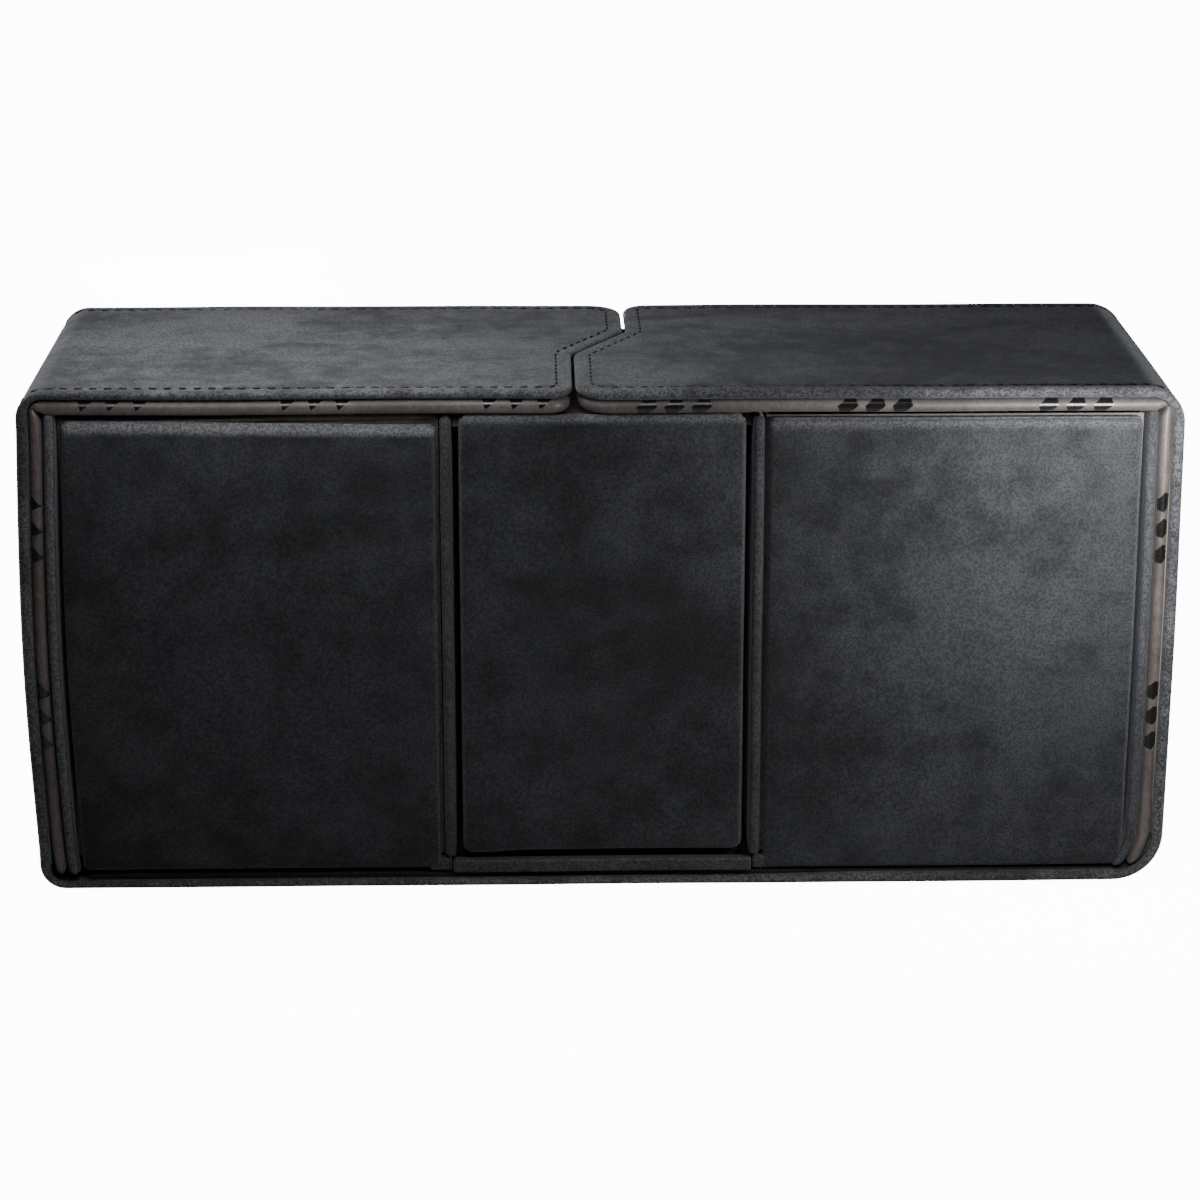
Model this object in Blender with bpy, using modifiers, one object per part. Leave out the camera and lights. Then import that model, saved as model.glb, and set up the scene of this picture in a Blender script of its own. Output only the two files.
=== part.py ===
"""Card deck box: an inner case with two deck compartments and a drawer, inside a fold-open suede cover.

Metres, +Z up, front face towards -Y, +X to the right. The origin is under the middle of the base.
"""

import math

import bmesh
import bpy
from mathutils import Matrix, Vector

MM = 0.001

# Driving sizes
CASE_HALF_WIDTH = 113.8 * MM
CASE_HALF_DEPTH = 38.0 * MM
COVER_HALF_DEPTH = 39.0 * MM
BAY_HALF_WIDTH = 31.0 * MM
CASE_HEIGHT = 99.6 * MM  # from the case's underside to the top of its walls
DRAWER_TRAVEL_ROOM = 1.15 * MM  # between the drawer and each divider

# Thicknesses
COVER_THICKNESS = 2.4 * MM  # suede skin with its board
SKIN_THICKNESS = 0.8 * MM
SIDE_PAD_THICKNESS = 2.3 * MM
FLAP_PAD_THICKNESS = 2.6 * MM
WALL_THICKNESS = 2.3 * MM
PANEL_THICKNESS = 2.6 * MM
BACK_THICKNESS = 2.4 * MM
FLOOR_THICKNESS = 3.1 * MM
LINER_THICKNESS = 0.6 * MM
STRIP_THICKNESS = 1.2 * MM
GUTTER_THICKNESS = 0.35 * MM

# Clearances
GAP = 0.3 * MM  # between pieces that touch
LID_GAP = 0.9 * MM  # between the case's top and the flaps
BASE_GAP = 0.4 * MM  # between the cover's base and the case
SEAM = 0.6 * MM  # beside and behind the front panels
PANEL_INSET = 0.2 * MM  # of the front panels behind the walls' front edges
PAD_CLEARANCE = 0.4 * MM  # between the case and the side linings
PAD_SETBACK = 0.5 * MM  # of the linings' edges behind the cover's
TURNED_EDGE = 1.8 * MM  # width of the cover's turned edge round its board

# The fold of the cover at its corners
BEND_RADIUS = 8.0 * MM
PAD_REACH = 2.8 * MM  # how far the linings run past the centre of a bend

# The split between the flaps
SPLIT_OFFSET = 5.7 * MM
SPLIT_MIDDLE_Y = 3.0 * MM
SPLIT_RUN = 20.5 * MM
SPLIT_GAP = 1.2 * MM
NOSE_RADIUS = 7.5 * MM
SHOULDER_RADIUS = 4.0 * MM
SPLIT_BEND_RADIUS = 3.0 * MM

# Magnets
MAGNET_RADIUS = 5.0 * MM
MAGNET_X = 17.0 * MM
MAGNET_Y = 21.0 * MM
POCKET_CLEARANCE = 0.3 * MM

# The ledge over the drawer
LEDGE_THICKNESS = 2.0 * MM
LEDGE_LINING = 0.5 * MM
LEDGE_SETBACK = 4.5 * MM  # behind the case's front

# The drawer
DRAWER_WALL = 1.8 * MM
DRAWER_LIFT = 4.1 * MM  # its front's lower edge over the case's underside
DRAWER_FRONT_RISE = 0.5 * MM  # its front's upper edge over the case's top
DRAWER_HEADROOM = 2.0 * MM  # its walls' upper edges under the ledge
DRAWER_END_ROOM = 1.0 * MM  # behind its back

# Rounded edges
COVER_ROUNDING = 0.7 * MM
FLAP_ROUNDING = 0.9 * MM
PAD_ROUNDING = 0.8 * MM
PANEL_ROUNDING = 0.9 * MM
WRAP_ROUNDING = 0.6 * MM
DRAWER_WALL_ROUNDING = 0.4 * MM

# Derived levels and places
BOARD_THICKNESS = COVER_THICKNESS - SKIN_THICKNESS - GAP
CASE_BOTTOM = COVER_THICKNESS + BASE_GAP
CASE_TOP = CASE_BOTTOM + CASE_HEIGHT
FLOOR_TOP = CASE_BOTTOM + FLOOR_THICKNESS
PAD_BOTTOM = CASE_TOP + LID_GAP
FLAP_BOTTOM = PAD_BOTTOM + FLAP_PAD_THICKNESS + GAP
TOTAL_HEIGHT = FLAP_BOTTOM + COVER_THICKNESS
SIDE_PAD_INNER_X = CASE_HALF_WIDTH + PAD_CLEARANCE
COVER_INNER_X = SIDE_PAD_INNER_X + SIDE_PAD_THICKNESS + GAP
COVER_HALF_WIDTH = COVER_INNER_X + COVER_THICKNESS
BEND_X = COVER_HALF_WIDTH - BEND_RADIUS
LOWER_BEND_Z = BEND_RADIUS
UPPER_BEND_Z = TOTAL_HEIGHT - BEND_RADIUS
AXIS_INSET = BEND_RADIUS * (1 - math.sqrt(0.5))  # puts a hinge's axis on the middle of its bend
PAD_HALF_DEPTH = COVER_HALF_DEPTH - PAD_SETBACK
LEDGE_TOP = CASE_TOP - LEDGE_LINING - GAP
INNER_BACK_Y = CASE_HALF_DEPTH - BACK_THICKNESS - GAP
INNER_FRONT_Y = -CASE_HALF_DEPTH + PANEL_THICKNESS + SEAM

SIDES = {"left": -1, "right": 1}
ARC_STEPS = 8
BEND_STEPS = 12

SUEDE = ("suede", (0.018, 0.019, 0.021), 0.85)
LINING = ("lining", (0.11, 0.09, 0.082), 0.8)
BOARD = ("board", (0.16, 0.14, 0.12), 0.9)
MAGNET = ("magnet", (0.55, 0.55, 0.57), 0.3)


def clear_scene():
    for item in list(bpy.data.objects):
        bpy.data.objects.remove(item)


def new_collection(name):
    collection = bpy.data.collections.new(name)
    bpy.context.scene.collection.children.link(collection)
    return collection


def finish_of(finish):
    """The Principled material of a finish, made on its first use."""
    name, colour, roughness = finish
    material = bpy.data.materials.get(name)
    if material is None:
        material = bpy.data.materials.new(name)
        material.use_nodes = True
        shader = material.node_tree.nodes["Principled BSDF"]
        shader.inputs["Base Color"].default_value = (*colour, 1.0)
        shader.inputs["Roughness"].default_value = roughness
        shader.inputs["Metallic"].default_value = 1.0 if finish is MAGNET else 0.0
    return material


class Assembly:
    """The object's collections and the empties that its moving bodies hang on."""

    def __init__(self):
        self.parts = new_collection("card_deck_box")
        self.cutters = new_collection("cutters")
        self.axes = {}

    def add_axis(self, body, place, parent=None):
        """An empty on a body's joint axis, under the empty of the body that carries it."""
        empty = bpy.data.objects.new(body + "_axis", None)
        self.parts.objects.link(empty)
        place = Vector(place)
        if parent:
            empty.parent = self.axes[parent][0]
            empty.location = place - self.axes[parent][1]
        else:
            empty.location = place
        self.axes[body] = (empty, place)

    def add(self, name, mesh, place, body, finish):
        part = bpy.data.objects.new(name, mesh)
        part.data.materials.append(finish_of(finish))
        self.parts.objects.link(part)
        empty, origin = self.axes[body]
        part.parent = empty
        part.location = Vector(place) - origin
        return part

    def add_cutter(self, name, mesh, place):
        cutter = bpy.data.objects.new(name, mesh)
        self.cutters.objects.link(cutter)
        cutter.location = place
        cutter.hide_render = True
        cutter.display_type = "WIRE"
        return cutter


def box_mesh(name, size):
    """A box of this size about the mesh's origin."""
    shape = bmesh.new()
    bmesh.ops.create_cube(shape, size=1.0)
    bmesh.ops.scale(shape, vec=size, verts=shape.verts)
    mesh = bpy.data.meshes.new(name)
    shape.to_mesh(mesh)
    shape.free()
    return mesh


def disc_mesh(name, radius, depth, segments=24):
    shape = bmesh.new()
    bmesh.ops.create_cone(
        shape, cap_ends=True, segments=segments, radius1=radius, radius2=radius, depth=depth
    )
    mesh = bpy.data.meshes.new(name)
    shape.to_mesh(mesh)
    shape.free()
    return mesh


def bevel(part, width, segments=2):
    rounding = part.modifiers.new("rounded_edges", "BEVEL")
    rounding.width = width
    rounding.segments = segments
    rounding.limit_method = "ANGLE"
    rounding.angle_limit = math.radians(50)


def cut(part, cutter):
    pocket = part.modifiers.new("cut_" + cutter.name, "BOOLEAN")
    pocket.operation = "DIFFERENCE"
    pocket.object = cutter


def span(side, near, far):
    """Two x values, low first, at these distances from the middle on one side."""
    return sorted((side * near, side * far))


def add_box(assembly, name, low, high, body, finish, rounding=0.0):
    """A box between two corners, with its origin at its middle."""
    low, high = Vector(low), Vector(high)
    mesh = box_mesh(name, high - low)
    part = assembly.add(name, mesh, (low + high) / 2, body, finish)
    if rounding:
        bevel(part, rounding)
    return part


def rounded_outline(corners):
    """The points of a closed outline, from corners given as (x, y, radius)."""
    points = []
    for index, (x, y, radius) in enumerate(corners):
        here = Vector((x, y))
        if radius == 0:
            points.append(here)
            continue
        following = corners[(index + 1) % len(corners)]
        back = (Vector(corners[index - 1][:2]) - here).normalized()
        ahead = (Vector(following[:2]) - here).normalized()
        half = back.angle(ahead) / 2
        centre = here + (back + ahead).normalized() * radius / math.sin(half)
        start = here + back * radius / math.tan(half) - centre
        turn = -back.angle_signed(-ahead)  # angle_signed counts clockwise
        for step in range(ARC_STEPS + 1):
            points.append(centre + Matrix.Rotation(turn * step / ARC_STEPS, 2) @ start)
    return points


def inset_corners(corners, distance):
    """The same outline, which runs anticlockwise, drawn this much further in."""
    moved = []
    count = len(corners)
    for index, (x, y, radius) in enumerate(corners):
        here = Vector((x, y))
        along_in = (here - Vector(corners[index - 1][:2])).normalized()
        along_out = (Vector(corners[(index + 1) % count][:2]) - here).normalized()
        inward_in = Vector((-along_in.y, along_in.x))
        inward_out = Vector((-along_out.y, along_out.x))
        shift = (inward_in + inward_out) * distance / (1 + inward_in.dot(inward_out))
        convex = along_in.cross(along_out) > 0
        new_radius = max(radius - distance, 0.5 * MM) if convex else radius + distance
        moved.append((*(here + shift), new_radius if radius else 0))
    return moved


def plate_mesh(name, corners, thickness):
    """A flat plate with a rounded outline, from a filled and extruded 2D curve."""
    outline = rounded_outline(corners)
    curve = bpy.data.curves.new(name, "CURVE")
    curve.dimensions = "2D"
    curve.fill_mode = "BOTH"
    curve.extrude = thickness / 2
    spline = curve.splines.new("POLY")
    spline.points.add(len(outline) - 1)
    for point, (x, y) in zip(spline.points, outline):
        point.co = (x, y, 0, 1)
    spline.use_cyclic_u = True
    drawn = bpy.data.objects.new(name, curve)
    bpy.context.scene.collection.objects.link(drawn)
    evaluated = drawn.evaluated_get(bpy.context.evaluated_depsgraph_get())
    mesh = bpy.data.meshes.new_from_object(evaluated)
    bpy.data.objects.remove(drawn)
    shape = bmesh.new()
    shape.from_mesh(mesh)
    bmesh.ops.remove_doubles(shape, verts=shape.verts, dist=0.00001)
    bmesh.ops.dissolve_limit(shape, angle_limit=math.radians(0.5), verts=shape.verts, edges=shape.edges)
    bmesh.ops.recalc_face_normals(shape, faces=shape.faces)
    shape.to_mesh(mesh)
    shape.free()
    mesh.name = name
    mesh.materials.clear()
    return mesh


def add_arc_strip(assembly, name, side, centre_z, radius, degrees, thickness, half_depth, body, finish):
    """A strip bent round an axis along Y: the arc's angles are from the outward horizontal."""
    first, last = (math.radians(angle) for angle in degrees)
    shape = bmesh.new()
    rim = []
    for step in range(BEND_STEPS + 1):
        angle = first + (last - first) * step / BEND_STEPS
        x = side * radius * math.cos(angle)
        rim.append(shape.verts.new((x, -half_depth, radius * math.sin(angle))))
    edges = [shape.edges.new(pair) for pair in zip(rim, rim[1:])]
    swept = bmesh.ops.extrude_edge_only(shape, edges=edges)
    moved = [item for item in swept["geom"] if isinstance(item, bmesh.types.BMVert)]
    bmesh.ops.translate(shape, verts=moved, vec=(0, 2 * half_depth, 0))
    for face in shape.faces:
        outward = face.calc_center_median() * Vector((1, 0, 1))
        if face.normal.dot(outward) < 0:
            face.normal_flip()
    mesh = bpy.data.meshes.new(name)
    shape.to_mesh(mesh)
    shape.free()
    strip = assembly.add(name, mesh, (side * BEND_X, 0, centre_z), body, finish)
    wall = strip.modifiers.new("thickness", "SOLIDIFY")
    wall.thickness = thickness
    wall.offset = -1
    wall.use_even_offset = True
    return strip


def add_liner(assembly, name, low, high, thickness, body):
    """An open-topped lining: a box without its lid, thickened inwards."""
    low, high = Vector(low), Vector(high)
    mesh = box_mesh(name, high - low)
    shape = bmesh.new()
    shape.from_mesh(mesh)
    lid = [face for face in shape.faces if face.normal.z > 0.5]
    bmesh.ops.delete(shape, geom=lid, context="FACES")
    shape.to_mesh(mesh)
    shape.free()
    liner = assembly.add(name, mesh, (low + high) / 2, body, LINING)
    wall = liner.modifiers.new("thickness", "SOLIDIFY")
    wall.thickness = thickness
    wall.offset = -1
    wall.use_even_offset = True
    return liner


def flap_corners(side, reach, half_depth):
    """A flap's outline, anticlockwise, out to its hinge side at this distance from the middle."""
    front_x = -SPLIT_OFFSET + side * SPLIT_GAP / 2
    back_x = SPLIT_OFFSET + side * SPLIT_GAP / 2
    front_radius, back_radius = (
        (NOSE_RADIUS, SHOULDER_RADIUS) if side > 0 else (SHOULDER_RADIUS, NOSE_RADIUS)
    )
    corners = [
        (side * reach, -half_depth, 0),
        (front_x, -half_depth, front_radius),
        (front_x, SPLIT_MIDDLE_Y - SPLIT_RUN / 2, SPLIT_BEND_RADIUS),
        (back_x, SPLIT_MIDDLE_Y + SPLIT_RUN / 2, SPLIT_BEND_RADIUS),
        (back_x, half_depth, back_radius),
        (side * reach, half_depth, 0),
    ]
    return corners if side < 0 else corners[::-1]


def build_base(assembly):
    """The cover's base: suede skin turned up round a board."""
    half_width = BEND_X - GAP
    low = (-half_width, -COVER_HALF_DEPTH, 0)
    high = (half_width, COVER_HALF_DEPTH, COVER_THICKNESS)
    skin = add_box(assembly, "base_cover", low, high, "case", SUEDE, COVER_ROUNDING)
    inner = (half_width - TURNED_EDGE, COVER_HALF_DEPTH - TURNED_EDGE)
    pocket = box_mesh("base_pocket", (2 * inner[0], 2 * inner[1], 2 * (COVER_THICKNESS - SKIN_THICKNESS)))
    cut(skin, assembly.add_cutter("base_pocket", pocket, (0, 0, COVER_THICKNESS)))
    low = (-inner[0] + GAP, -inner[1] + GAP, SKIN_THICKNESS + GAP)
    high = (inner[0] - GAP, inner[1] - GAP, SKIN_THICKNESS + GAP + BOARD_THICKNESS)
    add_box(assembly, "base_board", low, high, "case", BOARD)


def build_case(assembly):
    """The inner case's floor, back, sill and drawer bay."""
    inner = CASE_HALF_WIDTH - WALL_THICKNESS - GAP
    add_box(
        assembly, "case_floor",
        (-inner, INNER_FRONT_Y, CASE_BOTTOM), (inner, INNER_BACK_Y, FLOOR_TOP),
        "case", BOARD,
    )
    add_box(
        assembly, "back_panel",
        (-inner, CASE_HALF_DEPTH - BACK_THICKNESS, CASE_BOTTOM), (inner, CASE_HALF_DEPTH, CASE_TOP),
        "case", SUEDE, WRAP_ROUNDING,
    )
    sill_half = BAY_HALF_WIDTH + 2 * GAP
    add_box(
        assembly, "bay_sill",
        (-sill_half, -CASE_HALF_DEPTH, CASE_BOTTOM),
        (sill_half, -CASE_HALF_DEPTH + PANEL_THICKNESS, FLOOR_TOP - GAP),
        "case", SUEDE, WRAP_ROUNDING,
    )
    bay_half = BAY_HALF_WIDTH - GAP
    add_box(
        assembly, "bay_liner",
        (-bay_half, INNER_FRONT_Y, FLOOR_TOP + GAP),
        (bay_half, INNER_BACK_Y, FLOOR_TOP + GAP + LINER_THICKNESS),
        "case", LINING,
    )


def build_ledge(assembly):
    """The ledge over the drawer: a board with magnet pockets under a thin lining."""
    half = BAY_HALF_WIDTH - GAP
    front = -CASE_HALF_DEPTH + LEDGE_SETBACK
    board = add_box(
        assembly, "ledge_board",
        (-half, front, LEDGE_TOP - LEDGE_THICKNESS), (half, INNER_BACK_Y, LEDGE_TOP),
        "case", BOARD,
    )
    add_box(
        assembly, "ledge_lining",
        (-half, front, LEDGE_TOP + GAP), (half, INNER_BACK_Y, CASE_TOP),
        "case", LINING,
    )
    middle_z = LEDGE_TOP - LEDGE_THICKNESS / 2
    depth = LEDGE_THICKNESS - 2 * GAP
    for side_name, side in SIDES.items():
        for end_name, end in (("front", -1), ("back", 1)):
            place = (side * MAGNET_X, end * MAGNET_Y, middle_z)
            name = f"{side_name}_{end_name}_ledge_magnet"
            hole = disc_mesh(name + "_pocket", MAGNET_RADIUS + POCKET_CLEARANCE, 2 * LEDGE_THICKNESS)
            cut(board, assembly.add_cutter(name + "_pocket", hole, place))
            assembly.add(name, disc_mesh(name, MAGNET_RADIUS, depth), place, "case", MAGNET)


def build_compartment(assembly, side_name, side):
    """One deck compartment: divider, outer wall, front panel with its foot, and lining."""
    divider_far = BAY_HALF_WIDTH + WALL_THICKNESS
    low_x, high_x = span(side, BAY_HALF_WIDTH, divider_far)
    add_box(
        assembly, f"{side_name}_divider",
        (low_x, -CASE_HALF_DEPTH, FLOOR_TOP + GAP), (high_x, INNER_BACK_Y, CASE_TOP),
        "case", SUEDE, PANEL_ROUNDING,
    )
    wall_near = CASE_HALF_WIDTH - WALL_THICKNESS
    low_x, high_x = span(side, wall_near, CASE_HALF_WIDTH)
    add_box(
        assembly, f"{side_name}_outer_wall",
        (low_x, -CASE_HALF_DEPTH, CASE_BOTTOM), (high_x, CASE_HALF_DEPTH, CASE_TOP),
        "case", SUEDE, PANEL_ROUNDING,
    )
    panel_top = CASE_TOP - LINER_THICKNESS
    front = -CASE_HALF_DEPTH + PANEL_INSET
    low_x, high_x = span(side, divider_far + SEAM, wall_near - SEAM)
    panel = add_box(
        assembly, f"{side_name}_front_panel",
        (low_x, front, CASE_BOTTOM), (high_x, front + PANEL_THICKNESS, panel_top),
        "case", SUEDE, PANEL_ROUNDING,
    )
    foot_low, foot_high = span(side, BAY_HALF_WIDTH + 3 * GAP, divider_far + 2 * SEAM)
    foot_size = (foot_high - foot_low, PANEL_THICKNESS, FLOOR_THICKNESS)
    foot_place = ((foot_low + foot_high) / 2, front + PANEL_THICKNESS / 2, CASE_BOTTOM + FLOOR_THICKNESS / 2)
    foot_name = f"{side_name}_panel_foot"
    foot = assembly.add_cutter(foot_name, box_mesh(foot_name, foot_size), foot_place)
    union = panel.modifiers.new("foot", "BOOLEAN")
    union.operation = "UNION"
    union.object = foot
    low_x, high_x = span(side, divider_far + GAP, wall_near - GAP)
    add_liner(
        assembly, f"{side_name}_liner",
        (low_x, INNER_FRONT_Y, FLOOR_TOP + GAP), (high_x, INNER_BACK_Y, CASE_TOP - GAP),
        LINER_THICKNESS, "case",
    )


def build_side_panel(assembly, side_name, side):
    """One side of the cover: suede skin round a board, padded lining, and the bends at both ends."""
    body = f"{side_name}_wing"
    low_z, high_z = LOWER_BEND_Z + GAP, UPPER_BEND_Z - GAP
    low_x, high_x = span(side, COVER_INNER_X, COVER_HALF_WIDTH)
    skin = add_box(
        assembly, f"{side_name}_side_cover",
        (low_x, -COVER_HALF_DEPTH, low_z), (high_x, COVER_HALF_DEPTH, high_z),
        body, SUEDE, COVER_ROUNDING,
    )
    pocket_depth = COVER_THICKNESS - SKIN_THICKNESS
    inner_y = COVER_HALF_DEPTH - TURNED_EDGE
    inner_low, inner_high = low_z + TURNED_EDGE, high_z - TURNED_EDGE
    pocket_name = f"{side_name}_side_pocket"
    pocket = box_mesh(pocket_name, (2 * pocket_depth, 2 * inner_y, inner_high - inner_low))
    place = (side * COVER_INNER_X, 0, (inner_low + inner_high) / 2)
    cut(skin, assembly.add_cutter(pocket_name, pocket, place))
    low_x, high_x = span(side, COVER_INNER_X, COVER_INNER_X + BOARD_THICKNESS)
    add_box(
        assembly, f"{side_name}_side_board",
        (low_x, -inner_y + GAP, inner_low + GAP), (high_x, inner_y - GAP, inner_high - GAP),
        body, BOARD,
    )
    low_x, high_x = span(side, SIDE_PAD_INNER_X, SIDE_PAD_INNER_X + SIDE_PAD_THICKNESS)
    add_box(
        assembly, f"{side_name}_side_lining",
        (low_x, -PAD_HALF_DEPTH, LOWER_BEND_Z - PAD_REACH),
        (high_x, PAD_HALF_DEPTH, PAD_BOTTOM - GAP),
        body, LINING, PAD_ROUNDING,
    )


def build_bends(assembly, side_name, side):
    """The fabric hinges of one side: suede outside, lining fabric inside, at base and top."""
    gutter_radius = BEND_RADIUS - STRIP_THICKNESS - GAP
    bends = (
        ("base_hinge", LOWER_BEND_Z, BEND_RADIUS, (0, -90), STRIP_THICKNESS, COVER_HALF_DEPTH, SUEDE),
        ("base_gutter", LOWER_BEND_Z, gutter_radius, (-28, -76), GUTTER_THICKNESS, PAD_HALF_DEPTH, LINING),
        ("top_hinge", UPPER_BEND_Z, BEND_RADIUS, (0, 90), STRIP_THICKNESS, COVER_HALF_DEPTH, SUEDE),
        ("top_gutter", UPPER_BEND_Z, gutter_radius, (24, 66), GUTTER_THICKNESS, PAD_HALF_DEPTH, LINING),
    )
    for name, centre_z, radius, degrees, thickness, half_depth, finish in bends:
        body = "case" if name.startswith("base") else f"{side_name}_wing"
        add_arc_strip(
            assembly, f"{side_name}_{name}", side, centre_z, radius, degrees, thickness,
            half_depth, body, finish,
        )


def build_flap(assembly, side_name, side):
    """One top flap: suede skin, board with magnets, and padded lining, all with the zig-zag end."""
    body = f"{side_name}_flap"
    outline = flap_corners(side, BEND_X - GAP, COVER_HALF_DEPTH)
    middle_z = FLAP_BOTTOM + COVER_THICKNESS / 2
    name = f"{side_name}_flap_cover"
    skin = assembly.add(name, plate_mesh(name, outline, COVER_THICKNESS), (0, 0, middle_z), body, SUEDE)
    bevel(skin, FLAP_ROUNDING)
    pocket_corners = inset_corners(outline, TURNED_EDGE)
    pocket_depth = COVER_THICKNESS - SKIN_THICKNESS
    pocket_name = f"{side_name}_flap_pocket"
    pocket = plate_mesh(pocket_name, pocket_corners, 2 * pocket_depth)
    cut(skin, assembly.add_cutter(pocket_name, pocket, (0, 0, FLAP_BOTTOM)))
    board_z = FLAP_BOTTOM + BOARD_THICKNESS / 2
    name = f"{side_name}_flap_board"
    board_mesh = plate_mesh(name, inset_corners(outline, TURNED_EDGE + GAP), BOARD_THICKNESS)
    board = assembly.add(name, board_mesh, (0, 0, board_z), body, BOARD)
    for end_name, end in (("front", -1), ("back", 1)):
        magnet = f"{side_name}_{end_name}_flap_magnet"
        place = (side * MAGNET_X, end * MAGNET_Y, board_z)
        hole = disc_mesh(magnet + "_pocket", MAGNET_RADIUS + POCKET_CLEARANCE, 2 * BOARD_THICKNESS)
        cut(board, assembly.add_cutter(magnet + "_pocket", hole, place))
        assembly.add(magnet, disc_mesh(magnet, MAGNET_RADIUS, BOARD_THICKNESS), place, body, MAGNET)
    pad_outline = flap_corners(side, BEND_X + PAD_REACH, PAD_HALF_DEPTH)
    name = f"{side_name}_flap_lining"
    pad_mesh = plate_mesh(name, pad_outline, FLAP_PAD_THICKNESS)
    pad = assembly.add(name, pad_mesh, (0, 0, PAD_BOTTOM + FLAP_PAD_THICKNESS / 2), body, LINING)
    bevel(pad, PAD_ROUNDING)


def build_drawer(assembly):
    """The drawer: a tall front, two sides, a back and a floor round a lining."""
    half = BAY_HALF_WIDTH - DRAWER_TRAVEL_ROOM
    front = -CASE_HALF_DEPTH
    add_box(
        assembly, "drawer_front",
        (-half, front, CASE_BOTTOM + DRAWER_LIFT),
        (half, front + PANEL_THICKNESS, CASE_TOP + DRAWER_FRONT_RISE),
        "drawer", SUEDE, PANEL_ROUNDING,
    )
    body_half = half - GAP
    body_front = front + PANEL_THICKNESS + GAP
    body_back = INNER_BACK_Y - DRAWER_END_ROOM
    bottom = FLOOR_TOP + 2 * GAP + LINER_THICKNESS
    top = LEDGE_TOP - LEDGE_THICKNESS - DRAWER_HEADROOM
    floor_top = bottom + DRAWER_WALL
    add_box(
        assembly, "drawer_floor",
        (-body_half, body_front, bottom), (body_half, body_back, floor_top),
        "drawer", SUEDE,
    )
    for side_name, side in SIDES.items():
        low_x, high_x = span(side, body_half - DRAWER_WALL, body_half)
        add_box(
            assembly, f"drawer_{side_name}_side",
            (low_x, body_front, floor_top + GAP), (high_x, body_back, top),
            "drawer", SUEDE, DRAWER_WALL_ROUNDING,
        )
    inner = body_half - DRAWER_WALL - GAP
    add_box(
        assembly, "drawer_back",
        (-inner, body_back - DRAWER_WALL, floor_top + GAP), (inner, body_back, top),
        "drawer", SUEDE, DRAWER_WALL_ROUNDING,
    )
    add_liner(
        assembly, "drawer_liner",
        (-inner, body_front, floor_top + GAP), (inner, body_back - DRAWER_WALL - GAP, top - GAP),
        LINER_THICKNESS, "drawer",
    )


def add_joint_axes(assembly):
    """The empties: the case at the origin, each hinge at the middle of its bend, the drawer's slide."""
    assembly.add_axis("case", (0, 0, 0))
    hinge_x = COVER_HALF_WIDTH - AXIS_INSET
    for side_name, side in SIDES.items():
        wing = f"{side_name}_wing"
        assembly.add_axis(wing, (side * hinge_x, 0, AXIS_INSET), "case")
        assembly.add_axis(f"{side_name}_flap", (side * hinge_x, 0, TOTAL_HEIGHT - AXIS_INSET), wing)
    assembly.add_axis("drawer", (0, -CASE_HALF_DEPTH, CASE_BOTTOM + DRAWER_LIFT), "case")


def main():
    clear_scene()
    assembly = Assembly()
    add_joint_axes(assembly)
    build_base(assembly)
    build_case(assembly)
    build_ledge(assembly)
    build_drawer(assembly)
    for side_name, side in SIDES.items():
        build_compartment(assembly, side_name, side)
        build_side_panel(assembly, side_name, side)
        build_bends(assembly, side_name, side)
        build_flap(assembly, side_name, side)


main()
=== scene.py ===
"""Looks of the card deck box: suede cover, padded lining, inner case and drawer, with its studio.

Metres in the part's own frame: +Z up, the front towards -Y, the origin under the middle of the base.
The cover goes round the case from flap to flap. Its sections are given by depth from its edge and by
height over its inner face.
"""

import logging
import math
from collections.abc import Sequence
from dataclasses import dataclass, field
from enum import Enum

import bmesh
import bpy
from mathutils import Matrix, Vector, noise

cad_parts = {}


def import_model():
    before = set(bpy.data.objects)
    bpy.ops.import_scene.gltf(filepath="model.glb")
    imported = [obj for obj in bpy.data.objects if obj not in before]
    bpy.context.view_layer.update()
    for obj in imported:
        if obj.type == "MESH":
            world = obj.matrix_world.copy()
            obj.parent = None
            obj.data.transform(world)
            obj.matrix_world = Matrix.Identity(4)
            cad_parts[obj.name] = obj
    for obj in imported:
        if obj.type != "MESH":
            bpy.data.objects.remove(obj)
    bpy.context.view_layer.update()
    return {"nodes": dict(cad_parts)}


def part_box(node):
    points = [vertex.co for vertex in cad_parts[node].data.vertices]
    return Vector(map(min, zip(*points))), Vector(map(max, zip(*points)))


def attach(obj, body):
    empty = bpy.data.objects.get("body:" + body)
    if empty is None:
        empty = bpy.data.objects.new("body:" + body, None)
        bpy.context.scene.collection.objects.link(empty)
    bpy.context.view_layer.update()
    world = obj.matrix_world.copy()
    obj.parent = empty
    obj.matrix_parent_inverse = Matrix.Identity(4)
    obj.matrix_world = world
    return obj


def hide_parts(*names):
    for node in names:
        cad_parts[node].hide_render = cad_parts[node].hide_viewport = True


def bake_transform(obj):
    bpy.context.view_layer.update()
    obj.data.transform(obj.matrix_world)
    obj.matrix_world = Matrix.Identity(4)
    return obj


MM = 0.001
WELD = 2e-6  # vertices nearer than this are one
CUT_TOLERANCE = 1e-7
LEAST_RADIUS = 0.4 * MM  # of an outline's corner
ARC_STEPS = 8  # steps round an outline's corner
ROUND_STEPS = 8  # steps round an edge
HAND_SEED = 5
EDGE_LAYER = "edge"

log = logging.getLogger("card_deck_box")


# ---------------------------------------------------------------- options


class Side(Enum):
    """The two sides of the box, by the sign of x."""

    LEFT = -1
    RIGHT = 1

    @property
    def label(self) -> str:
        """The side's word in the names of bodies and nodes."""
        return self.name.lower()


def by_side(left: object, right: object) -> dict[Side, object]:
    """A value for each side of the box."""
    return {Side.LEFT: left, Side.RIGHT: right}


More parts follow.
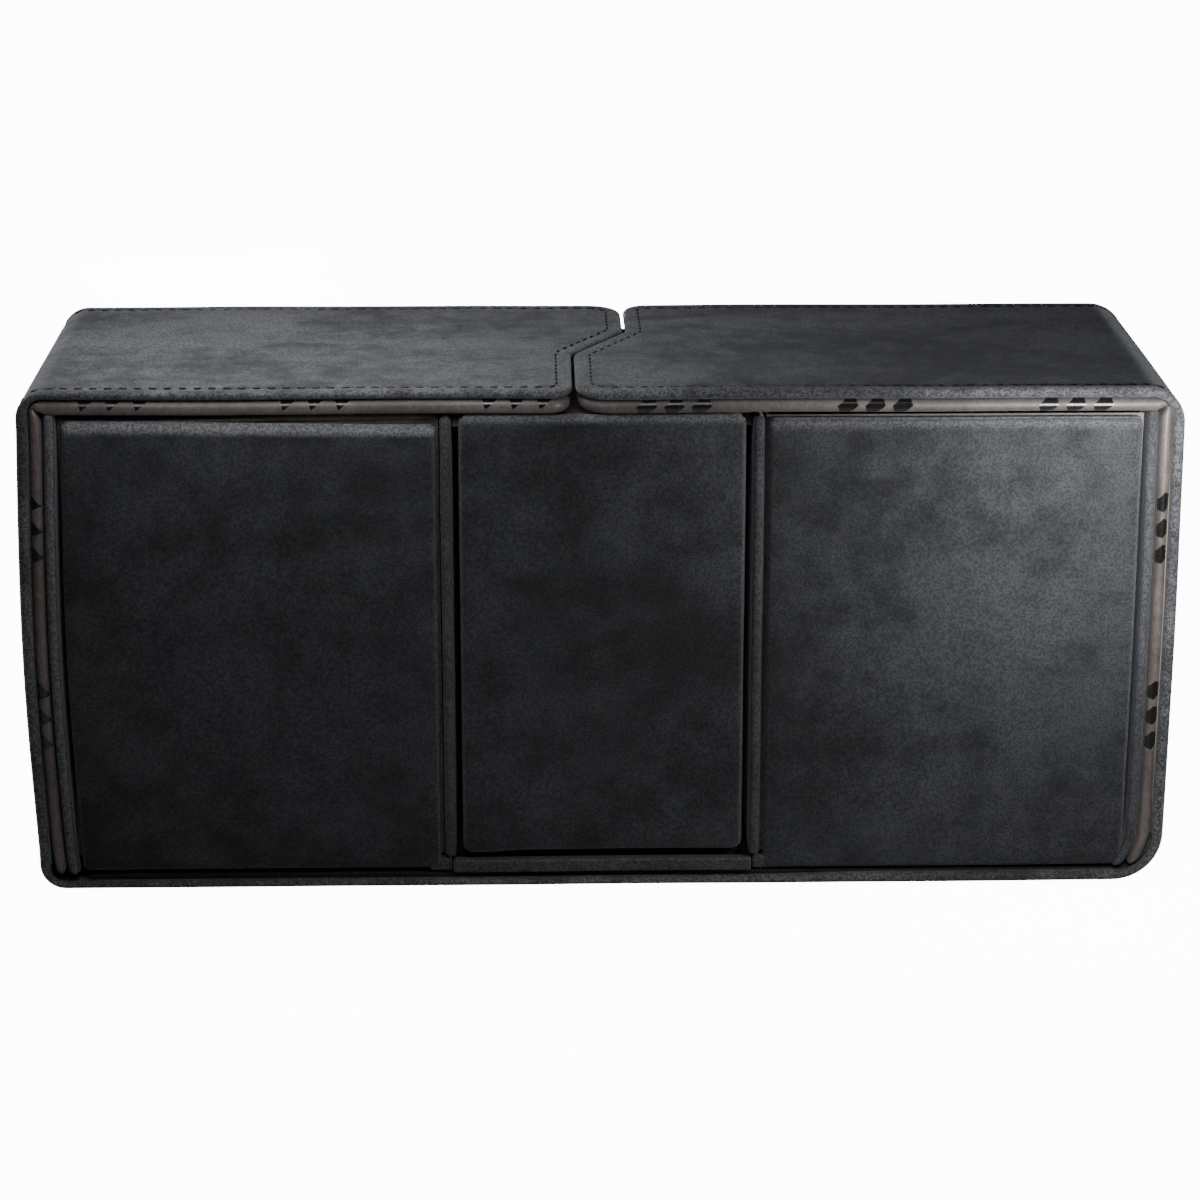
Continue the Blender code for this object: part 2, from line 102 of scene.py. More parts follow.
class Flank(Enum):
    """Which way a lining lies, which decides how its print runs."""

    LEVEL = "level"
    UPRIGHT = "upright"


# ---------------------------------------------------------------- node trees


class NodeTree:
    """A short way to add and join nodes in a shader or geometry tree."""

    def __init__(self, tree: bpy.types.NodeTree) -> None:
        """Takes the tree that nodes are added to."""
        self.tree = tree

    def add(self, kind: str, **values: object) -> bpy.types.Node:
        """Adds a node.

        Args:
            kind: the node's Blender type.
            **values: properties of the node, or inputs, as fill() takes them.

        Returns:
            The new node.
        """
        node = self.tree.nodes.new(kind)
        properties = {key: value for key, value in values.items() if hasattr(node, key)}
        for key, value in properties.items():
            setattr(node, key, value)
        self.fill(node, **{key: value for key, value in values.items() if key not in properties})
        return node

    def fill(self, node: bpy.types.Node, **values: object) -> None:
        """Sets or links inputs of a node, each named with underscores for its spaces."""
        for key, value in values.items():
            self.feed(node.inputs[key.replace("_", " ")], value)

    def feed(self, socket: bpy.types.NodeSocket, value: object) -> None:
        """Links a socket, or sets the value of an input."""
        if isinstance(value, bpy.types.NodeSocket):
            self.tree.links.new(value, socket)
        else:
            socket.default_value = value

    def math(self, operation: str, first: object, second: object = 0.0) -> bpy.types.NodeSocket:
        """Adds a Math node and returns its output."""
        node = self.tree.nodes.new("ShaderNodeMath")
        node.operation = operation
        self.feed(node.inputs[0], first)
        self.feed(node.inputs[1], second)
        return node.outputs[0]

    def remap(self, value: object, low: float, high: float, start: float = 0.0,
              end: float = 1.0) -> bpy.types.NodeSocket:
        """Maps a value smoothly from low..high to start..end."""
        node = self.add("ShaderNodeMapRange", interpolation_type="SMOOTHSTEP")
        for index, item in enumerate((value, low, high, start, end)):
            self.feed(node.inputs[index], item)
        return node.outputs[0]

    def mix(self, factor: object, first: object, second: object, blend: str = "MIX") -> bpy.types.NodeSocket:
        """Mixes two colours."""
        node = self.tree.nodes.new("ShaderNodeMix")
        node.data_type = "RGBA"
        node.blend_type = blend
        self.feed(node.inputs[0], factor)
        self.feed(node.inputs[6], first)
        self.feed(node.inputs[7], second)
        return node.outputs[2]

    def grained(self, colour: object, grain: bpy.types.NodeSocket, amount: float) -> bpy.types.NodeSocket:
        """Multiplies a colour by a grain's tone, which varies by an amount to both sides of 1."""
        tone = self.remap(grain, 0.0, 1.0, 1 - amount, 1 + amount)
        grey = self.add("ShaderNodeCombineColor", Red=tone, Green=tone, Blue=tone)
        return self.mix(1.0, colour, grey.outputs[0], "MULTIPLY")

    def group(self, tree: bpy.types.NodeTree, **values: object) -> bpy.types.bpy_prop_collection:
        """Adds a node group with its inputs and returns its outputs."""
        return self.add("ShaderNodeGroup", node_tree=tree, **values).outputs

    def bump(self, height: bpy.types.NodeSocket, strength: float, distance: float) -> bpy.types.NodeSocket:
        """Makes a normal from a height."""
        return self.add("ShaderNodeBump", Strength=strength, Distance=distance, Height=height).outputs[0]


def shader_group(name: str, inputs: dict[str, float | None],
                 outputs: Sequence[str]) -> tuple[NodeTree, dict, dict]:
    """Starts a shader node group.

    Args:
        name: the group's name.
        inputs: each input's name with its number, or None for a vector.
        outputs: the names of the outputs, all plain values.

    Returns:
        The group's tree, its input sockets and its output sockets by name.
    """
    tree = bpy.data.node_groups.new(name, "ShaderNodeTree")
    for label, value in inputs.items():
        kind = "NodeSocketVector" if value is None else "NodeSocketFloat"
        socket = tree.interface.new_socket(label, in_out="INPUT", socket_type=kind)
        if value is not None:
            socket.default_value = value
    for label in outputs:
        tree.interface.new_socket(label, in_out="OUTPUT", socket_type="NodeSocketFloat")
    start = tree.nodes.new("NodeGroupInput")
    end = tree.nodes.new("NodeGroupOutput")
    sources = {label: start.outputs[label] for label in inputs}
    targets = {label: end.inputs[label] for label in outputs}
    return NodeTree(tree), sources, targets


def cloud_group() -> bpy.types.NodeTree:
    """Cloudy patches of a brushed nap: long soft streaks with smaller blotches inside them.

    Returns:
        The group, with the output Cloud from 0 to 1.
    """
    nodes, given, out = shader_group("nap_clouds", {"Vector": None, "Scale": 30.0, "Seed": 0.0}, ["Cloud"])
    stretch = nodes.add("ShaderNodeMapping", Vector=given["Vector"], Scale=(0.55, 1.0, 1.0))
    broad = nodes.add("ShaderNodeTexNoise", noise_dimensions="4D", Vector=stretch.outputs[0],
                      W=given["Seed"], Scale=given["Scale"], Detail=6.0, Roughness=0.62, Distortion=0.6)
    finer = nodes.math("MULTIPLY", given["Scale"], 5.0)
    small = nodes.add("ShaderNodeTexNoise", noise_dimensions="4D", Vector=given["Vector"], W=given["Seed"],
                      Scale=finer, Detail=4.0, Roughness=0.6)
    both = nodes.math("ADD", nodes.math("MULTIPLY", broad.outputs[0], 0.64),
                      nodes.math("MULTIPLY", small.outputs[0], 0.36))
    nodes.feed(out["Cloud"], nodes.remap(both, 0.38, 0.62))
    return nodes.tree


def grain_group() -> bpy.types.NodeTree:
    """The fine grain of a short pile.

    Returns:
        The group, with the outputs Grain, a tone from 0 to 1, and Height for a bump.
    """
    nodes, given, out = shader_group("pile_grain", {"Vector": None, "Size": 1400.0}, ["Grain", "Height"])
    fine = nodes.add("ShaderNodeTexNoise", Vector=given["Vector"], Scale=given["Size"],
                     Detail=3.0, Roughness=0.65)
    coarse = nodes.add("ShaderNodeTexNoise", Vector=given["Vector"],
                       Scale=nodes.math("MULTIPLY", given["Size"], 0.5), Detail=2.0, Roughness=0.6)
    tone = nodes.math("ADD", nodes.math("MULTIPLY", fine.outputs[0], 0.7),
                      nodes.math("MULTIPLY", coarse.outputs[0], 0.3))
    nodes.feed(out["Grain"], nodes.remap(tone, 0.36, 0.64))
    nodes.feed(out["Height"], tone)
    return nodes.tree


def wear_group() -> bpy.types.NodeTree:
    """Paleness of rubbed edges, and painted highlight on lit rolled tops and front ridges: a piece's edge
    attribute, broken up by noise.

    Returns:
        The group, with the output Wear from 0 to 1.
    """
    nodes, given, out = shader_group("edge_wear", {"Edge": 0.0, "Vector": None, "Amount": 0.5}, ["Wear"])
    patch = nodes.add("ShaderNodeTexNoise", Vector=given["Vector"], Scale=1100.0, Detail=4.0, Roughness=0.75)
    broken = nodes.remap(patch.outputs[0], 0.3, 0.7, 0.7, 1.0)
    edge = nodes.remap(given["Edge"], 0.1, 1.0)
    nodes.feed(out["Wear"], nodes.math("MULTIPLY", nodes.math("MULTIPLY", edge, broken), given["Amount"]))
    return nodes.tree


def lozenge_group() -> bpy.types.NodeTree:
    """A printed motif of three small lozenges in a row, repeated in staggered rows.

    Returns:
        The group, with the output Print, 1 inside the motif.
    """
    nodes, given, out = shader_group(
        "lozenge_print",
        {"Along": 0.0, "Across": 0.0, "Pitch": 0.041, "Row": 0.026, "Length": 0.0043, "Height": 0.0029},
        ["Print"],
    )
    row = nodes.math("DIVIDE", given["Across"], given["Row"])
    number = nodes.math("ROUND", row)
    offset = nodes.math("MULTIPLY", nodes.math("SUBTRACT", row, number), given["Row"])
    across = nodes.math("ABSOLUTE", offset)
    shifted = nodes.math("ADD", given["Along"], nodes.math("MULTIPLY", number, 0.0175))
    lean = nodes.math("ADD", shifted, nodes.math("MULTIPLY", given["Across"], 0.45))
    place = nodes.math("DIVIDE", lean, given["Pitch"])
    along = nodes.math("MULTIPLY", nodes.math("SUBTRACT", place, nodes.math("ROUND", place)), given["Pitch"])
    reach = nodes.math("MULTIPLY", given["Length"], 1.95)
    inside = nodes.math("LESS_THAN", nodes.math("ABSOLUTE", along), reach)
    spaced = nodes.math("DIVIDE", along, nodes.math("MULTIPLY", given["Length"], 1.3))
    local = nodes.math("ABSOLUTE", nodes.math("SUBTRACT", spaced, nodes.math("ROUND", spaced)))
    width = nodes.math("MULTIPLY", local, 2.6)
    span = nodes.math("ADD", width, nodes.math("DIVIDE", across, given["Height"]))
    nodes.feed(out["Print"], nodes.math("MULTIPLY", inside, nodes.remap(span, 1.0, 0.94)))
    return nodes.tree


# ---------------------------------------------------------------- finishes


class Groups:
    """The shared shader groups, each made once."""

    def __init__(self) -> None:
        """Builds every group."""
        self.clouds = cloud_group()
        self.grain = grain_group()
        self.wear = wear_group()
        self.lozenges = lozenge_group()


def new_material(name: str) -> tuple[bpy.types.Material, NodeTree, bpy.types.Node, bpy.types.NodeSocket]:
    """Starts a node material.

    Args:
        name: the material's name.

    Returns:
        The material, its tree, its Principled shader and the Object coordinates.
    """
    material = bpy.data.materials.new(name)
    material.use_nodes = True
    nodes = NodeTree(material.node_tree)
    place = nodes.add("ShaderNodeTexCoord").outputs["Object"]
    return material, nodes, material.node_tree.nodes["Principled BSDF"], place


@dataclass(frozen=True)
class SuedeFinish:
    """Charcoal suede-like microfibre: a brushed, cloudy nap over a fine pile, paler at its rubbed edges, and
    paler still where a piece's edge attribute paints a highlight on a lit top or ridge.
    """

    name: str
    deep: tuple[float, float, float] = (0.0120, 0.0127, 0.0142)
    brushed: tuple[float, float, float] = (0.056, 0.0582, 0.0636)
    # the pale tone of rubbed edges, which on the case also serves as painted highlight on lit tops and
    # ridges
    worn: tuple[float, float, float] = (0.088, 0.091, 0.098)
    cloud_scale: float = 26.0
    seed: float = 0.0
    # how much of that pale tone is mixed in, for rubbed edges and painted highlight alike
    wear: float = 0.5
    speckle: float = 0.4
    pile: float = 2300.0

    def material(self, groups: Groups) -> bpy.types.Material:
        """Builds the material.

        Args:
            groups: the shared shader groups.

        Returns:
            The suede material.
        """
        material, nodes, shader, place = new_material(self.name)
        cloud = nodes.group(groups.clouds, Vector=place, Scale=self.cloud_scale, Seed=self.seed)["Cloud"]
        grain = nodes.group(groups.grain, Vector=place, Size=self.pile)
        edge = nodes.add("ShaderNodeAttribute", attribute_name=EDGE_LAYER).outputs["Fac"]
        # the edge attribute mixes in the pale tone: rubbed edges, and painted highlight where a piece marks
        # a lit top or ridge
        wear = nodes.group(groups.wear, Vector=place, Edge=edge, Amount=self.wear)["Wear"]
        tone = nodes.mix(cloud, (*self.deep, 1.0), (*self.brushed, 1.0))
        nap = nodes.grained(tone, grain["Grain"], self.speckle)
        worn = nodes.grained((*self.worn, 1.0), grain["Grain"], self.speckle)
        nodes.fill(shader, Base_Color=nodes.mix(wear, nap, worn),
                   Roughness=nodes.remap(cloud, 0.0, 1.0, 0.93, 0.78), Specular_IOR_Level=0.32,
                   Sheen_Weight=0.22, Sheen_Roughness=0.42, Sheen_Tint=(0.62, 0.65, 0.70, 1.0),
                   Normal=nodes.bump(grain["Height"], 0.55, 0.25 * MM))
        return material


@dataclass(frozen=True)
class LiningFinish:
    """Taupe microfibre lining, finely brushed, with a dark glossy lozenge print where it has a flank."""

    name: str
    flank: Flank | None = None
    front: float = 0.0
    middle: float = 0.0
    row_shift: float = 0.0
    shift: float = 0.0
    deep: tuple[float, float, float] = (0.052, 0.0425, 0.0395)
    pale: tuple[float, float, float] = (0.088, 0.075, 0.0705)
    ink: tuple[float, float, float] = (0.004, 0.0038, 0.0038)
    ink_gloss: float = 0.28
    speckle: float = 0.18
    pile: float = 2600.0
    wrap_start: float = 1.3 * MM

    def material(self, groups: Groups) -> bpy.types.Material:
        """Builds the material.

        Args:
            groups: the shared shader groups.

        Returns:
            The lining material.
        """
        material, nodes, shader, place = new_material(self.name)
        cloud = nodes.group(groups.clouds, Vector=place, Scale=55.0)["Cloud"]
        brushing = nodes.add("ShaderNodeMapping", Vector=place, Scale=(1.0, 1.0, 0.35))
        grain = nodes.group(groups.grain, Vector=brushing.outputs[0], Size=self.pile)
        tone = nodes.mix(cloud, (*self.deep, 1.0), (*self.pale, 1.0))
        cloth = nodes.grained(tone, grain["Grain"], self.speckle)
        rough = nodes.remap(cloud, 0.0, 1.0, 0.56, 0.46)
        if self.flank is not None:
            motif = self._motif(nodes, place, groups)
            cloth = nodes.mix(motif, cloth, (*self.ink, 1.0))
            rough = nodes.math("SUBTRACT", rough, nodes.math("MULTIPLY", motif, self.ink_gloss))
        nodes.fill(shader, Base_Color=cloth, Roughness=rough, Sheen_Weight=0.15, Sheen_Roughness=0.4,
                   Sheen_Tint=(0.85, 0.8, 0.76, 1.0), Normal=nodes.bump(grain["Height"], 0.35, 0.12 * MM))
        return material

    def _motif(self, nodes: NodeTree, place: bpy.types.NodeSocket, groups: Groups) -> bpy.types.NodeSocket:
        """The print's mask, running along x on a level lining and along z on an upright one."""
        axes = nodes.add("ShaderNodeSeparateXYZ", Vector=place).outputs
        along, fall = (axes[0], axes[2]) if self.flank is Flank.LEVEL else (axes[2], axes[0])
        drop = nodes.math("SUBTRACT", self.middle + self.row_shift, nodes.math("ABSOLUTE", fall))
        behind = nodes.math("MAXIMUM", nodes.math("SUBTRACT", axes[1], self.front + self.wrap_start), 0.0)
        wrapped = nodes.math("ADD", drop, behind)
        shifted = nodes.math("ADD", along, self.shift)
        return nodes.group(groups.lozenges, Along=shifted, Across=wrapped)["Print"]


@dataclass(frozen=True)
class BoardFinish:
    """Grey chipboard with short fibres."""

    name: str = "chipboard"
    colour: tuple[float, float, float] = (0.19, 0.165, 0.135)

    def material(self, groups: Groups) -> bpy.types.Material:
        """Builds the board's material from the shared groups."""
        material, nodes, shader, place = new_material(self.name)
        cloud = nodes.group(groups.clouds, Vector=place, Scale=160.0)["Cloud"]
        grain = nodes.group(groups.grain, Vector=place, Size=900.0)
        dark = tuple(0.6 * part for part in self.colour)
        mask = nodes.math("MULTIPLY", cloud, grain["Grain"])
        nodes.fill(shader, Base_Color=nodes.mix(mask, (*self.colour, 1.0), (*dark, 1.0)),
                   Roughness=nodes.remap(grain["Grain"], 0.0, 1.0, 0.8, 0.95),
                   Normal=nodes.bump(grain["Height"], 0.3, 0.1 * MM))
        return material


@dataclass(frozen=True)
class NickelFinish:
    """Nickel-plated disc magnet, finely scuffed."""

    name: str = "nickel"

    def material(self, groups: Groups) -> bpy.types.Material:
        """Builds the nickel material from the shared groups."""
        material, nodes, shader, place = new_material(self.name)
        grain = nodes.group(groups.grain, Vector=place, Size=700.0)["Grain"]
        tone = nodes.mix(grain, (0.52, 0.51, 0.5, 1.0), (0.62, 0.62, 0.63, 1.0))
        nodes.fill(shader, Base_Color=tone, Roughness=nodes.remap(grain, 0.0, 1.0, 0.2, 0.38), Metallic=1.0)
        return material


@dataclass(frozen=True)
class ThreadFinish:
    """Twisted polyester thread, nearly black."""

    name: str = "thread"

    def material(self, groups: Groups) -> bpy.types.Material:
        """Builds the thread's material from the shared groups."""
        material, nodes, shader, place = new_material(self.name)
        grain = nodes.group(groups.grain, Vector=place, Size=3200.0)["Grain"]
        tone = nodes.mix(grain, (0.004, 0.004, 0.0045, 1.0), (0.012, 0.012, 0.013, 1.0))
        nodes.fill(shader, Base_Color=tone, Roughness=nodes.remap(grain, 0.0, 1.0, 0.5, 0.75),
                   Specular_IOR_Level=0.3)
        return material


@dataclass
class Finishes:
    """Every material of the object."""

    groups: Groups = field(default_factory=Groups)

    def __post_init__(self) -> None:
        """Builds the materials."""
        flap_low, flap_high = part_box("left_flap_lining")
        side_low, side_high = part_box("right_side_lining")
        level, upright = (flap_low.z + flap_high.z) / 2, (side_low.x + side_high.x) / 2
        front = flap_low.y
        self.cover = SuedeFinish("cover_suede", cloud_scale=38.0, seed=1.7, wear=0.25,
                                 speckle=0.55).material(self.groups)
        # The case's suede is a darker copy of the cover's, darkened for the shade on the front faces
        # (painted shade); its pale tone, mixed in almost fully, paints highlights on the front panels'
        # rolled tops and the walls' ridges.
        self.case = SuedeFinish("case_suede", (0.0089, 0.0096, 0.0111), (0.0246, 0.0263, 0.0304),
                                (0.118, 0.122, 0.131), cloud_scale=22.0, seed=5.2,
                                wear=0.95).material(self.groups)
        # A near-black suede that paints shade: it dresses the base board, the case floor, the bay's liner
        # and the lower folds' linings, which sit in the crevices under and behind the case, so the gaps read
        # as shadow.
        self.wrap = SuedeFinish("black_wrap", (0.0030, 0.0031, 0.0033), (0.0065, 0.0067, 0.0072),
                                seed=9.1, wear=0.0).material(self.groups)
        self.flap_lining = {
            Side.LEFT: LiningFinish("left_flap_print", Flank.LEVEL, front, level, 2.6 * MM, 17.0 * MM),
            Side.RIGHT: LiningFinish("right_flap_print", Flank.LEVEL, front, level, 0.2 * MM, 26.4 * MM),
        }
        self.side_lining = {
            Side.LEFT: LiningFinish("left_side_print", Flank.UPRIGHT, front, upright, 2.2 * MM, 2.0 * MM),
            Side.RIGHT: LiningFinish("right_side_print", Flank.UPRIGHT, front, upright, 0.3 * MM, 3.6 * MM),
        }
        self.liner = LiningFinish("plain_lining").material(self.groups)
        for linings in (self.flap_lining, self.side_lining):
            for side, finish in linings.items():
                linings[side] = finish.material(self.groups)
        self.board = BoardFinish().material(self.groups)
        self.nickel = NickelFinish().material(self.groups)
        self.thread = ThreadFinish().material(self.groups)


# ---------------------------------------------------------------- shape tools


def clamp(value: float) -> float:
    """A value held between 0 and 1."""
    return min(max(value, 0.0), 1.0)


def ease(share: float) -> float:
    """A share from 0 to 1 that starts and ends gently."""
    return share * share * (3 - 2 * share)


def fade(distance: float, reach: float) -> float:
    """1 at no distance, falling evenly to 0 at the reach and beyond it."""
    return max(1 - distance / reach, 0.0)


@dataclass(frozen=True)
class Hand:
    """The small irregularities of a hand-covered box, as one field that all soft pieces share.

    Neighbouring pieces are moved alike, so nothing meets that didn't meet before.
    """

    left_bow: float = 1.15 * MM
    right_bow: float = 0.3 * MM
    wander: float = 0.16 * MM
    wander_length: float = 38.0 * MM
    bow_bottom: float = 8.0 * MM
    bow_top: float = 100.6 * MM
    bow_start_x: float = 70.0 * MM  # the bow and the curl are of the sides only
    bow_full_x: float = 112.0 * MM
    left_curl: float = 0.0
    right_curl: float = 0.0
    curl_height: float = 12.0 * MM
    curl_start_x: float = 111.0 * MM

    def shift(self, point: Vector) -> Vector:
        """How far the field moves a point."""
        drift = noise.noise_vector(point / self.wander_length + Vector((3.1, 7.7, 1.3))) * self.wander
        rise = clamp((point.z - self.bow_bottom) / (self.bow_top - self.bow_bottom))
        reach = clamp((abs(point.x) - self.bow_start_x) / (self.bow_full_x - self.bow_start_x))
        bow = self.left_bow if point.x < 0 else self.right_bow
        drift.x += math.copysign(bow * math.sin(math.pi * rise) * ease(reach), point.x)
        curl = self.left_curl if point.x < 0 else self.right_curl
        if curl and abs(point.x) > self.curl_start_x:
            low = clamp(1 - point.z / self.curl_height)
            drift.x -= math.copysign(curl * low * low, point.x)
        return drift

    def work(self, mesh: bmesh.types.BMesh) -> None:
        """Moves every vertex of a mesh by the field."""
        for vertex in mesh.verts:
            vertex.co += self.shift(vertex.co)


HAND = Hand()
CURLED = Hand(left_curl=1.2 * MM, right_curl=5.4 * MM)  # for what curls in at the foot of a side


@dataclass(frozen=True)
class Turn:
    """A corner of a flat outline with the radius that rounds it."""

    x: float
    y: float
    radius: float

    @property
    def point(self) -> Vector:
        """The sharp corner."""
        return Vector((self.x, self.y))


@dataclass(frozen=True)
class Outline:
    """A closed flat outline, anticlockwise, with rounded corners."""

    turns: tuple[Turn, ...]

    def inset(self, distance: float) -> "Outline":
        """The outline moved inwards, each corner keeping its centre where it can."""
        turns = []
        for index, here in enumerate(self.turns):
            along_in = (here.point - self.turns[index - 1].point).normalized()
            along_out = (self.turns[(index + 1) % len(self.turns)].point - here.point).normalized()
            inward_in = Vector((-along_in.y, along_in.x))
            inward_out = Vector((-along_out.y, along_out.x))
            shift = (inward_in + inward_out) * (distance / (1 + inward_in.dot(inward_out)))
            hollow = along_in.cross(along_out) < 0
            radius = here.radius + distance if hollow else max(here.radius - distance, LEAST_RADIUS)
            turns.append(Turn(here.x + shift.x, here.y + shift.y, radius))
        return Outline(tuple(turns))

    def points(self) -> list[Vector]:
        """The outline's points, the same number for each corner."""
        points = []
        for index, turn in enumerate(self.turns):
            here = turn.point
            back = (self.turns[index - 1].point - here).normalized()
            ahead = (self.turns[(index + 1) % len(self.turns)].point - here).normalized()
            half = back.angle(ahead) / 2
            centre = here + (back + ahead).normalized() * (turn.radius / math.sin(half))
            start = here + back * (turn.radius / math.tan(half)) - centre
            angle = -back.angle_signed(-ahead)
            for step in range(ARC_STEPS + 1):
                points.append(centre + Matrix.Rotation(angle * step / ARC_STEPS, 2) @ start)
        return points


@dataclass(frozen=True)
class Station:
    """A place on the cover's way round the box: a point of its outer face, and the way out."""

    x: float
    z: float
    out_x: float
    out_z: float
    squeeze: float = 1.0

    def place(self, y: float, height: float, thickness: float) -> Vector:
        """The point at a depth y and a height over the inner face."""
        depth = (thickness - height) * self.squeeze
        return Vector((self.x - self.out_x * depth, y, self.z - self.out_z * depth))


@dataclass(frozen=True)
class EdgeProfile:
    """Steps of (depth in from the edge, height over the inner face), from inner face to outer face."""

    steps: tuple[tuple[float, float], ...]

    def section(self, half_depth: float) -> list[tuple[float, float]]:
        """The closed (y, height) section of a strip with this profile on both edges."""
        front = [(depth - half_depth, height) for depth, height in self.steps]
        return front + [(-y, height) for y, height in reversed(front)]

    def edge_value(self, depth: float, reach: float = 2.8 * MM) -> float:
        """How near a depth is to the edge, from 0 to 1."""
        return clamp(1 - depth / reach)


def half_round(radius: float) -> list[tuple[float, float]]:
    """The (depth, height) steps of a round edge, from the inner face to the outer one."""
    angles = [math.pi * step / ROUND_STEPS for step in range(ROUND_STEPS + 1)]
    return [(radius - radius * math.sin(angle), radius - radius * math.cos(angle)) for angle in angles]


GROOVE_STEPS = (  # each step's place and pull, as shares of the groove's
    (0.62, 0.10), (0.82, 0.55), (1.0, 1.0), (1.16, 0.62), (1.45, 0.34), (2.1, 0.22), (3.6, 0.1),
)


def rolled_edge(thickness: float, groove_depth: float, groove_place: float) -> EdgeProfile:
    """The profile of a cover's edge: a rolled rim, a stitched groove and a gently crowned field.

    Args:
        thickness: the cover's thickness.
        groove_depth: how deep the stitching pulls the face in.
        groove_place: the groove's distance from the edge.

    Returns:
        The profile.
    """
    field_steps = [(groove_place * share, thickness - groove_depth * pull) for share, pull in GROOVE_STEPS]
    return EdgeProfile((*half_round(thickness / 2), *field_steps))


def full_round_edge(thickness: float, crown: float) -> EdgeProfile:
    """The profile of a pad: a fully round edge and a slightly crowned inner face."""
    inner_face = ((9.0 * MM, -crown), (4.0 * MM, -0.6 * crown))
    return EdgeProfile((*inner_face, *half_round(thickness / 2), (4.0 * MM, thickness)))


def edge_layer(mesh: bmesh.types.BMesh) -> bmesh.types.BMLayerItem:
    """The layer that says how near each vertex is to an edge."""
    return mesh.verts.layers.float.get(EDGE_LAYER) or mesh.verts.layers.float.new(EDGE_LAYER)


def bridge(mesh: bmesh.types.BMesh, first: Sequence[bmesh.types.BMVert],
           second: Sequence[bmesh.types.BMVert]) -> None:
    """Joins two closed rows of vertices, one to one, with quads."""
    count = len(first)
    for index in range(count):
        following = (index + 1) % count
        mesh.faces.new((first[index], first[following], second[following], second[index]))


def sweep(mesh: bmesh.types.BMesh, stations: Sequence[Station], profile: EdgeProfile, half_depth: float,
          thickness: float, start_cap: bool = True, end_cap: bool = True) -> None:
    """Runs an edge profile's section along stations.

    Args:
        mesh: the mesh added to.
        stations: the places passed through.
        profile: the profile of both edges.
        half_depth: half the strip's depth in y.
        thickness: the strip's thickness.
        start_cap: whether the first section is closed by a face.
        end_cap: whether the last section is closed by a face.
    """
    layer = edge_layer(mesh)
    section = profile.section(half_depth)
    rows = []
    for station in stations:
        row = [mesh.verts.new(station.place(y, height, thickness)) for y, height in section]
        for vertex, (y, _height) in zip(row, section):
            vertex[layer] = profile.edge_value(half_depth - abs(y))
        rows.append(row)
    for first, second in zip(rows, rows[1:]):
        bridge(mesh, first, second)
    if start_cap:
        mesh.faces.new(list(reversed(rows[0])))
    if end_cap:
        mesh.faces.new(rows[-1])


def stack_rings(mesh: bmesh.types.BMesh, outline: Outline, profile: EdgeProfile, base_z: float,
                squeeze: float = 1.0) -> None:
    """Builds a plate from an outline by following an edge profile, closed below and above.

    Args:
        mesh: the mesh added to.
        outline: the plate's outline in x and y.
        profile: the edge profile, from the lower face to the upper one.
        base_z: the height of the lower face.
        squeeze: the plate's share of the profile's thickness.
    """
    layer = edge_layer(mesh)
    rows = []
    for depth, height in profile.steps:
        z = base_z + height * squeeze
        row = [mesh.verts.new((point.x, point.y, z)) for point in outline.inset(depth).points()]
        for vertex in row:
            vertex[layer] = profile.edge_value(depth)
        rows.append(row)
    for first, second in zip(rows, rows[1:]):
        bridge(mesh, first, second)
    mesh.faces.new(list(reversed(rows[0])))
    mesh.faces.new(rows[-1])


def slice_mesh(mesh: bmesh.types.BMesh, place: Vector, normal: Vector, cut_off: bool = False) -> None:
    """Cuts a mesh by a plane; with cut_off, what lies on the normal's side goes."""
    geometry = mesh.verts[:] + mesh.edges[:] + mesh.faces[:]
    bmesh.ops.bisect_plane(mesh, geom=geometry, dist=CUT_TOLERANCE, plane_co=place, plane_no=normal,
                           clear_outer=cut_off)


def cap_holes(mesh: bmesh.types.BMesh) -> None:
    """Closes every open rim with a face."""
    rims = [edge for edge in mesh.edges if edge.is_boundary]
    bmesh.ops.holes_fill(mesh, edges=rims, sides=0)


def grid_cuts(mesh: bmesh.types.BMesh, axis: int, start: float, end: float, step: float) -> None:
    """Cuts a mesh at even steps along an axis, so that it can follow the hand's field."""
    count = max(1, round((end - start) / step))
    for index in range(count + 1):
        place = Vector((0.0, 0.0, 0.0))
        normal = Vector((0.0, 0.0, 0.0))
        place[axis] = start + (end - start) * index / count
        normal[axis] = 1.0
        slice_mesh(mesh, place, normal)


def cut_depth(mesh: bmesh.types.BMesh, step: float = 6 * MM) -> None:
    """Cuts a strip at even steps of its depth."""
    grid_cuts(mesh, 1, -24 * MM, 24 * MM, step)


def cut_width(mesh: bmesh.types.BMesh, side: Side, end: float, step: float = 6 * MM) -> None:
    """Cuts a flap's piece at even steps from beside the split out to an end."""
    grid_cuts(mesh, 0, side.value * 14 * MM, side.value * end, side.value * step)


def make_object(name: str, mesh: bmesh.types.BMesh, material: bpy.types.Material,
                smooth_angle: float = 35.0, hand: Hand = HAND) -> bpy.types.Object:
    """Turns a mesh into a finished object at the origin.

    Args:
        name: the object's name.
        mesh: the bmesh, which is used up.
        material: its finish.
        smooth_angle: edges sharper than this stay sharp, in degrees.
        hand: the field of small irregularities.

    Returns:
        The new object.
    """
    bmesh.ops.remove_doubles(mesh, verts=mesh.verts, dist=WELD)
    bmesh.ops.recalc_face_normals(mesh, faces=mesh.faces)
    hand.work(mesh)
    data = bpy.data.meshes.new(name)
    mesh.to_mesh(data)
    mesh.free()
    data.materials.append(material)
    data.polygons.foreach_set("use_smooth", [True] * len(data.polygons))
    data.set_sharp_from_angle(angle=math.radians(smooth_angle))
    item = bpy.data.objects.new(name, data)
    bpy.context.scene.collection.objects.link(item)
    return item


